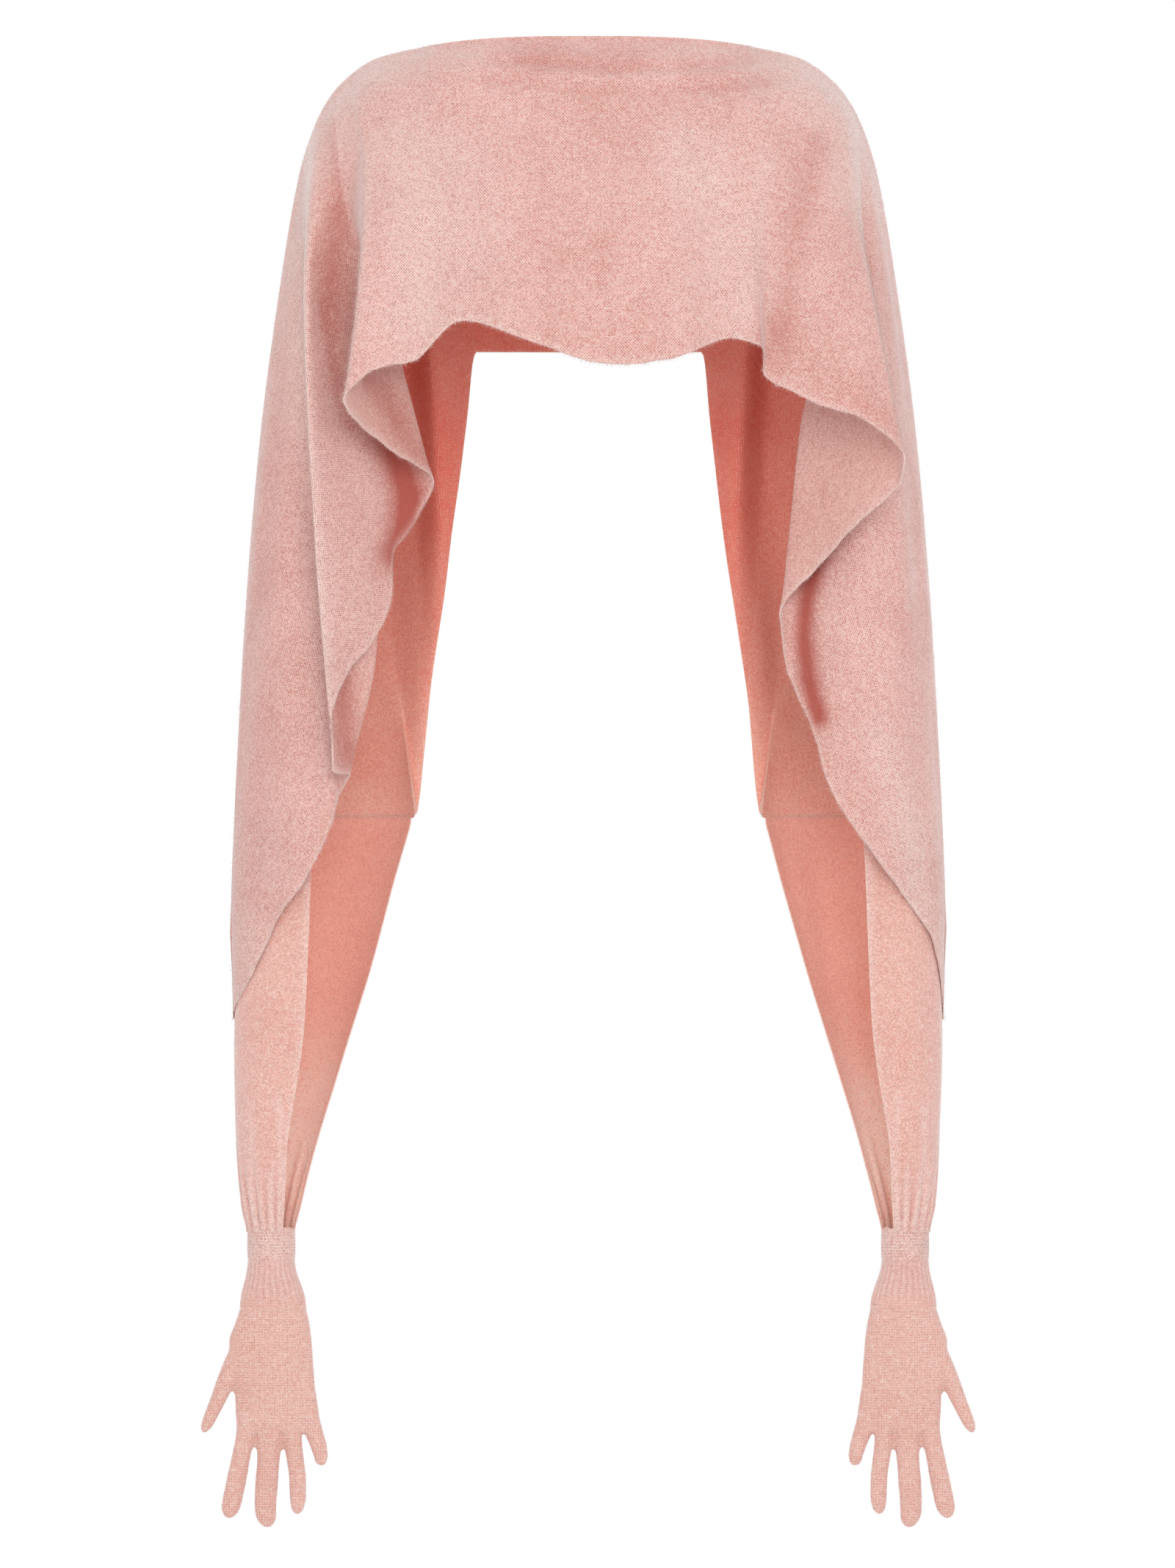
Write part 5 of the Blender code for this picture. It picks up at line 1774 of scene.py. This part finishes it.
@dataclass
class Glove:
    """The hand of a glove, in one knitted piece with its fingers and thumb."""

    side: int
    word: str
    voxel: float = 1.5
    wall: float = 0.8
    length: float = 0.155
    lap: float = 1.5
    start_down: float = 1008.0
    start_in: float = 0.3
    start_wide: float = 0.6
    start_thick: float = 5.0
    soften_share: float = 0.5
    soften_times: int = 7
    finger_sides: int = 24
    nap: Nap = Nap(16.0, 2.4, seed=61)

    def tube(self, rings: list[Ring], lean: float = 0.0) -> np.ndarray:
        """A closed tube with a round end through the rings of a finger.

        Args:
            rings: the rings, from the root to the tip.
            lean: how far each ring is turned from level, in radians.

        Returns:
            Rings of points (out, fore, down).
        """
        knots = [r.down for r in rings]
        body, tip = rings[-2], rings[-1]
        levels = np.linspace(knots[0], body.down, 20)
        size = through(knots, [(r.out, r.wide, r.thick) for r in rings], levels)
        narrowing = math.sqrt(1.0 - (tip.wide / body.wide) ** 2)
        steps = np.sin(np.linspace(0.0, math.pi / 2, 11))[1:]
        sides = np.sqrt(np.maximum(1.0 - steps**2, 0.0004))
        outs = body.out + (tip.out - body.out) * steps / narrowing
        size = np.concatenate([size, np.stack([outs, sides * body.wide, sides * body.thick], 1)])
        levels = np.concatenate([levels, body.down + steps * (tip.down - body.down) / narrowing])
        angle = full_circle(self.finger_sides)
        across = size[:, 1:2] * np.cos(angle)
        out = size[:, :1] + across * math.cos(lean)
        return np.stack([out, size[:, 2:] * np.sin(angle), levels[:, None] - across * math.sin(lean)], -1)

    def palm(self) -> np.ndarray:
        """The rings of the palm, from inside the ribbed wrist to the knuckles."""
        top = PALM_LEVELS[0]
        rings = [palm_ring(Level(top.down - 6.0, top.inner + 1.0, top.outer - 1.5, top.thick))]
        levels = [*PALM_LEVELS, *KNUCKLE_LEVELS]
        downs = np.linspace(levels[0].down, levels[-1].down, 40)
        sizes = through([v.down for v in levels], [v[1:] for v in levels], downs)
        rings += [palm_ring(Level(down, *size)) for down, size in zip(downs, sizes)]
        return np.array(rings)

    def shapes(self) -> list[np.ndarray]:
        """The palm, the fingers and the thumb, each as rings of points."""
        shapes = [self.palm()]
        for rings in FINGERS.values():
            root = rings[0]
            within = root.out + (PALM_MIDDLE - root.out) * self.start_in
            start = Ring(within, self.start_down, root.wide * self.start_wide, self.start_thick)
            shapes.append(self.tube([start, *rings]))
        shapes.append(self.tube(THUMB, THUMB_LEAN))
        return shapes

    def solid(self) -> bpy.types.Object:
        """All the shapes in one mesh, each closed."""
        verts, faces = [], []
        for shape in self.shapes():
            points = to_metres(shape, self.side)
            levels, sides = points.shape[:2]
            numbers = len(verts) + np.arange(levels * sides).reshape(levels, sides)
            verts += points.reshape(-1, 3).tolist()
            beside = np.roll(numbers, -1, axis=1)
            quads = np.stack([numbers[:-1], beside[:-1], beside[1:], numbers[1:]], -1).reshape(-1, 4)
            rings = [*quads.tolist(), numbers[0, ::-1].tolist(), numbers[-1].tolist()]
            faces += [ring[::-1] for ring in rings] if self.side < 0 else rings
        mesh = bpy.data.meshes.new(f"glove_hand_{self.word}")
        mesh.from_pydata(verts, [], faces)
        return new_object(mesh.name, mesh)

    def merge(self, made: bpy.types.Object) -> None:
        """Joins the shapes into one skin and softens where they meet."""
        merged = made.modifiers.new("Merge", "REMESH")
        merged.mode = "VOXEL"
        merged.voxel_size = self.voxel * MM
        soft = made.modifiers.new("Soften", "SMOOTH")
        soft.factor, soft.iterations = self.soften_share, self.soften_times
        only_active(made)
        for modifier in (merged.name, soft.name):
            bpy.ops.object.modifier_apply(modifier=modifier)

    def open_wrist(self, made: bpy.types.Object) -> None:
        """Cuts the hand open where it meets the ribbed wrist."""
        work = bmesh.new()
        work.from_mesh(made.data)
        geometry = [*work.verts, *work.edges, *work.faces]
        cut = (0.0, 0.0, -(RIB_FOOT - self.lap) * MM)
        bmesh.ops.bisect_plane(work, geom=geometry, plane_co=cut, plane_no=(0, 0, 1), clear_outer=True)
        bmesh.ops.recalc_face_normals(work, faces=work.faces)
        work.to_mesh(made.data)
        work.free()

    def map_stitches(self, made: bpy.types.Object) -> None:
        """Maps the stitches straight through from the front and the back."""
        mesh = made.data
        layer = mesh.uv_layers.new(name="stitches")
        points = values_of(mesh.vertices, "co", 3)
        add_tone(mesh, np.zeros(points.shape))
        at = points[values_of(mesh.loops, "vertex_index")]
        facing = np.where(values_of(mesh.polygons, "normal", 3)[:, 1] < 0, 1.0, -1.0)
        sign = np.repeat(facing, [p.loop_total for p in mesh.polygons])
        layer.data.foreach_set("uv", np.stack([at[:, 0] * sign, at[:, 2]], 1).ravel())

    def fibres(self, made: bpy.types.Object) -> bpy.types.Object:
        """Fibres all over the hand."""
        faces = made.data.polygons
        rng = np.random.default_rng(self.nap.seed + self.side)
        size = values_of(faces, "area")
        count = int(size.sum() * CM_PER_METRE**2 * self.nap.per_square_cm)
        chosen = rng.choice(len(size), count, p=size / size.sum())
        root = values_of(faces, "center", 3)[chosen] + rng.normal(0.0, 0.0004, (count, 3))
        paths = self.nap.grown(root, values_of(faces, "normal", 3)[chosen], rng)
        return strands(f"glove_nap_{self.word}", (paths, np.zeros((count, 3))), self.nap.width, GLOVE)

    def build(self) -> None:
        """Makes the hand of the glove and its fibres."""
        made = self.solid()
        self.merge(made)
        self.open_wrist(made)
        self.map_stitches(made)
        area = area_of(made)
        fuzz = self.fibres(made)
        add_shell(made, Faces(GLOVE, GLOVE, GLOVE), self.wall)
        made.data.shade_smooth()
        names = ("palm", "thumb", "index", "middle", "ring", "little")
        place(made, Slot.GLOVE, *[f"glove_{self.word}_{n}" for n in names])
        place(fuzz, Slot.GLOVE)
        LOG.info("glove cloth %.4f m2", area)


class Light(NamedTuple):
    """A soft square light: its place and size in metres, and its power in watts."""

    name: str
    at: tuple
    size: float
    power: float


LIGHTS = [
    Light("key", (0.6, -4.2, 0.9), 2.2, 55.0),
    Light("fill", (-1.5, -4.2, -0.4), 2.2, 12.0),
    Light("rim", (0.0, 3.6, 0.6), 2.4, 60.0),
]


@dataclass(frozen=True)
class Studio:
    """A pale floor, soft light and the camera of the photograph, in metres."""

    photo_middle: tuple = (-0.00055, -0.55825)
    distance: float = 12.0
    seen_height: float = 1.1748
    sensor: float = 36.0
    floor_down: float = 1.30
    floor_radius: float = 2.2
    floor_thick: float = 0.02
    floor_tone: float = 0.9
    surround: float = 0.82
    lit_point: tuple = (0.0, 0.0, -0.5)

    def floor(self) -> None:
        """A pale round floor under the garment."""
        bpy.ops.mesh.primitive_cylinder_add(
            vertices=96,
            radius=self.floor_radius,
            depth=self.floor_thick,
            location=(0.0, 0.0, -self.floor_down - self.floor_thick / 2),
        )
        made = bpy.context.object
        made.name = "floor"
        matt = bpy.data.materials.new("floor")
        matt.use_nodes = True
        shader = matt.node_tree.nodes["Principled BSDF"]
        shader.inputs["Base Color"].default_value = (*(self.floor_tone,) * 3, 1.0)
        shader.inputs["Roughness"].default_value = 0.9
        made.data.materials.append(matt)

    def light(self, light: Light) -> None:
        """A soft square light that faces the garment."""
        lamp = bpy.data.lights.new(light.name, "AREA")
        lamp.shape = "SQUARE"
        lamp.size = light.size
        lamp.energy = light.power
        made = new_object(light.name, lamp)
        made.location = light.at
        made.rotation_euler = (Vector(self.lit_point) - made.location).to_track_quat("-Z", "Y").to_euler()

    def world(self) -> None:
        """A near-white surround that the camera sees as white."""
        world = bpy.data.worlds.new("studio")
        bpy.context.scene.world = world
        world.use_nodes = True
        tree = world.node_tree
        sky = tree.nodes["Background"]
        sky.inputs["Color"].default_value = (1.0, 1.0, 1.0, 1.0)
        seen = tree.nodes.new("ShaderNodeLightPath").outputs["Is Camera Ray"]
        level = tree.nodes.new("ShaderNodeMapRange")
        level.inputs["To Min"].default_value = self.surround
        level.inputs["To Max"].default_value = 1.0
        tree.links.new(seen, level.inputs["Value"])
        tree.links.new(level.outputs["Result"], sky.inputs["Strength"])

    def camera(self) -> None:
        """The camera of the photograph."""
        lens = bpy.data.cameras.new("camera")
        lens.sensor_width = self.sensor
        lens.lens = self.sensor * self.distance / self.seen_height
        lens.clip_end = 200.0
        made = new_object("camera", lens)
        x, z = self.photo_middle
        made.location = (x, -self.distance, z)
        made.rotation_euler = (math.pi / 2, 0.0, 0.0)
        bpy.context.scene.camera = made

    def build(self) -> None:
        """Makes the studio."""
        self.floor()
        self.world()
        for light in LIGHTS:
            self.light(light)
        self.camera()
        bpy.context.scene.view_settings.view_transform = "Standard"


def write_size() -> None:
    """Updates the scene's view layer.
    """
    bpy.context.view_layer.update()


def main() -> None:
    """Builds the garment's looks over its frame."""
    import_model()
    write_size()
    bpy.ops.object.select_all(action="DESELECT")
    FrontPanel().build()
    BackPanel().build()
    for side, word in ((1, "left"), (-1, "right")):
        for piece in (Sleeve, WristBand, RibbedWrist, Glove):
            piece(side, word).build()
    Studio().build()
    write_size()


if __name__ == "__main__":
    main()
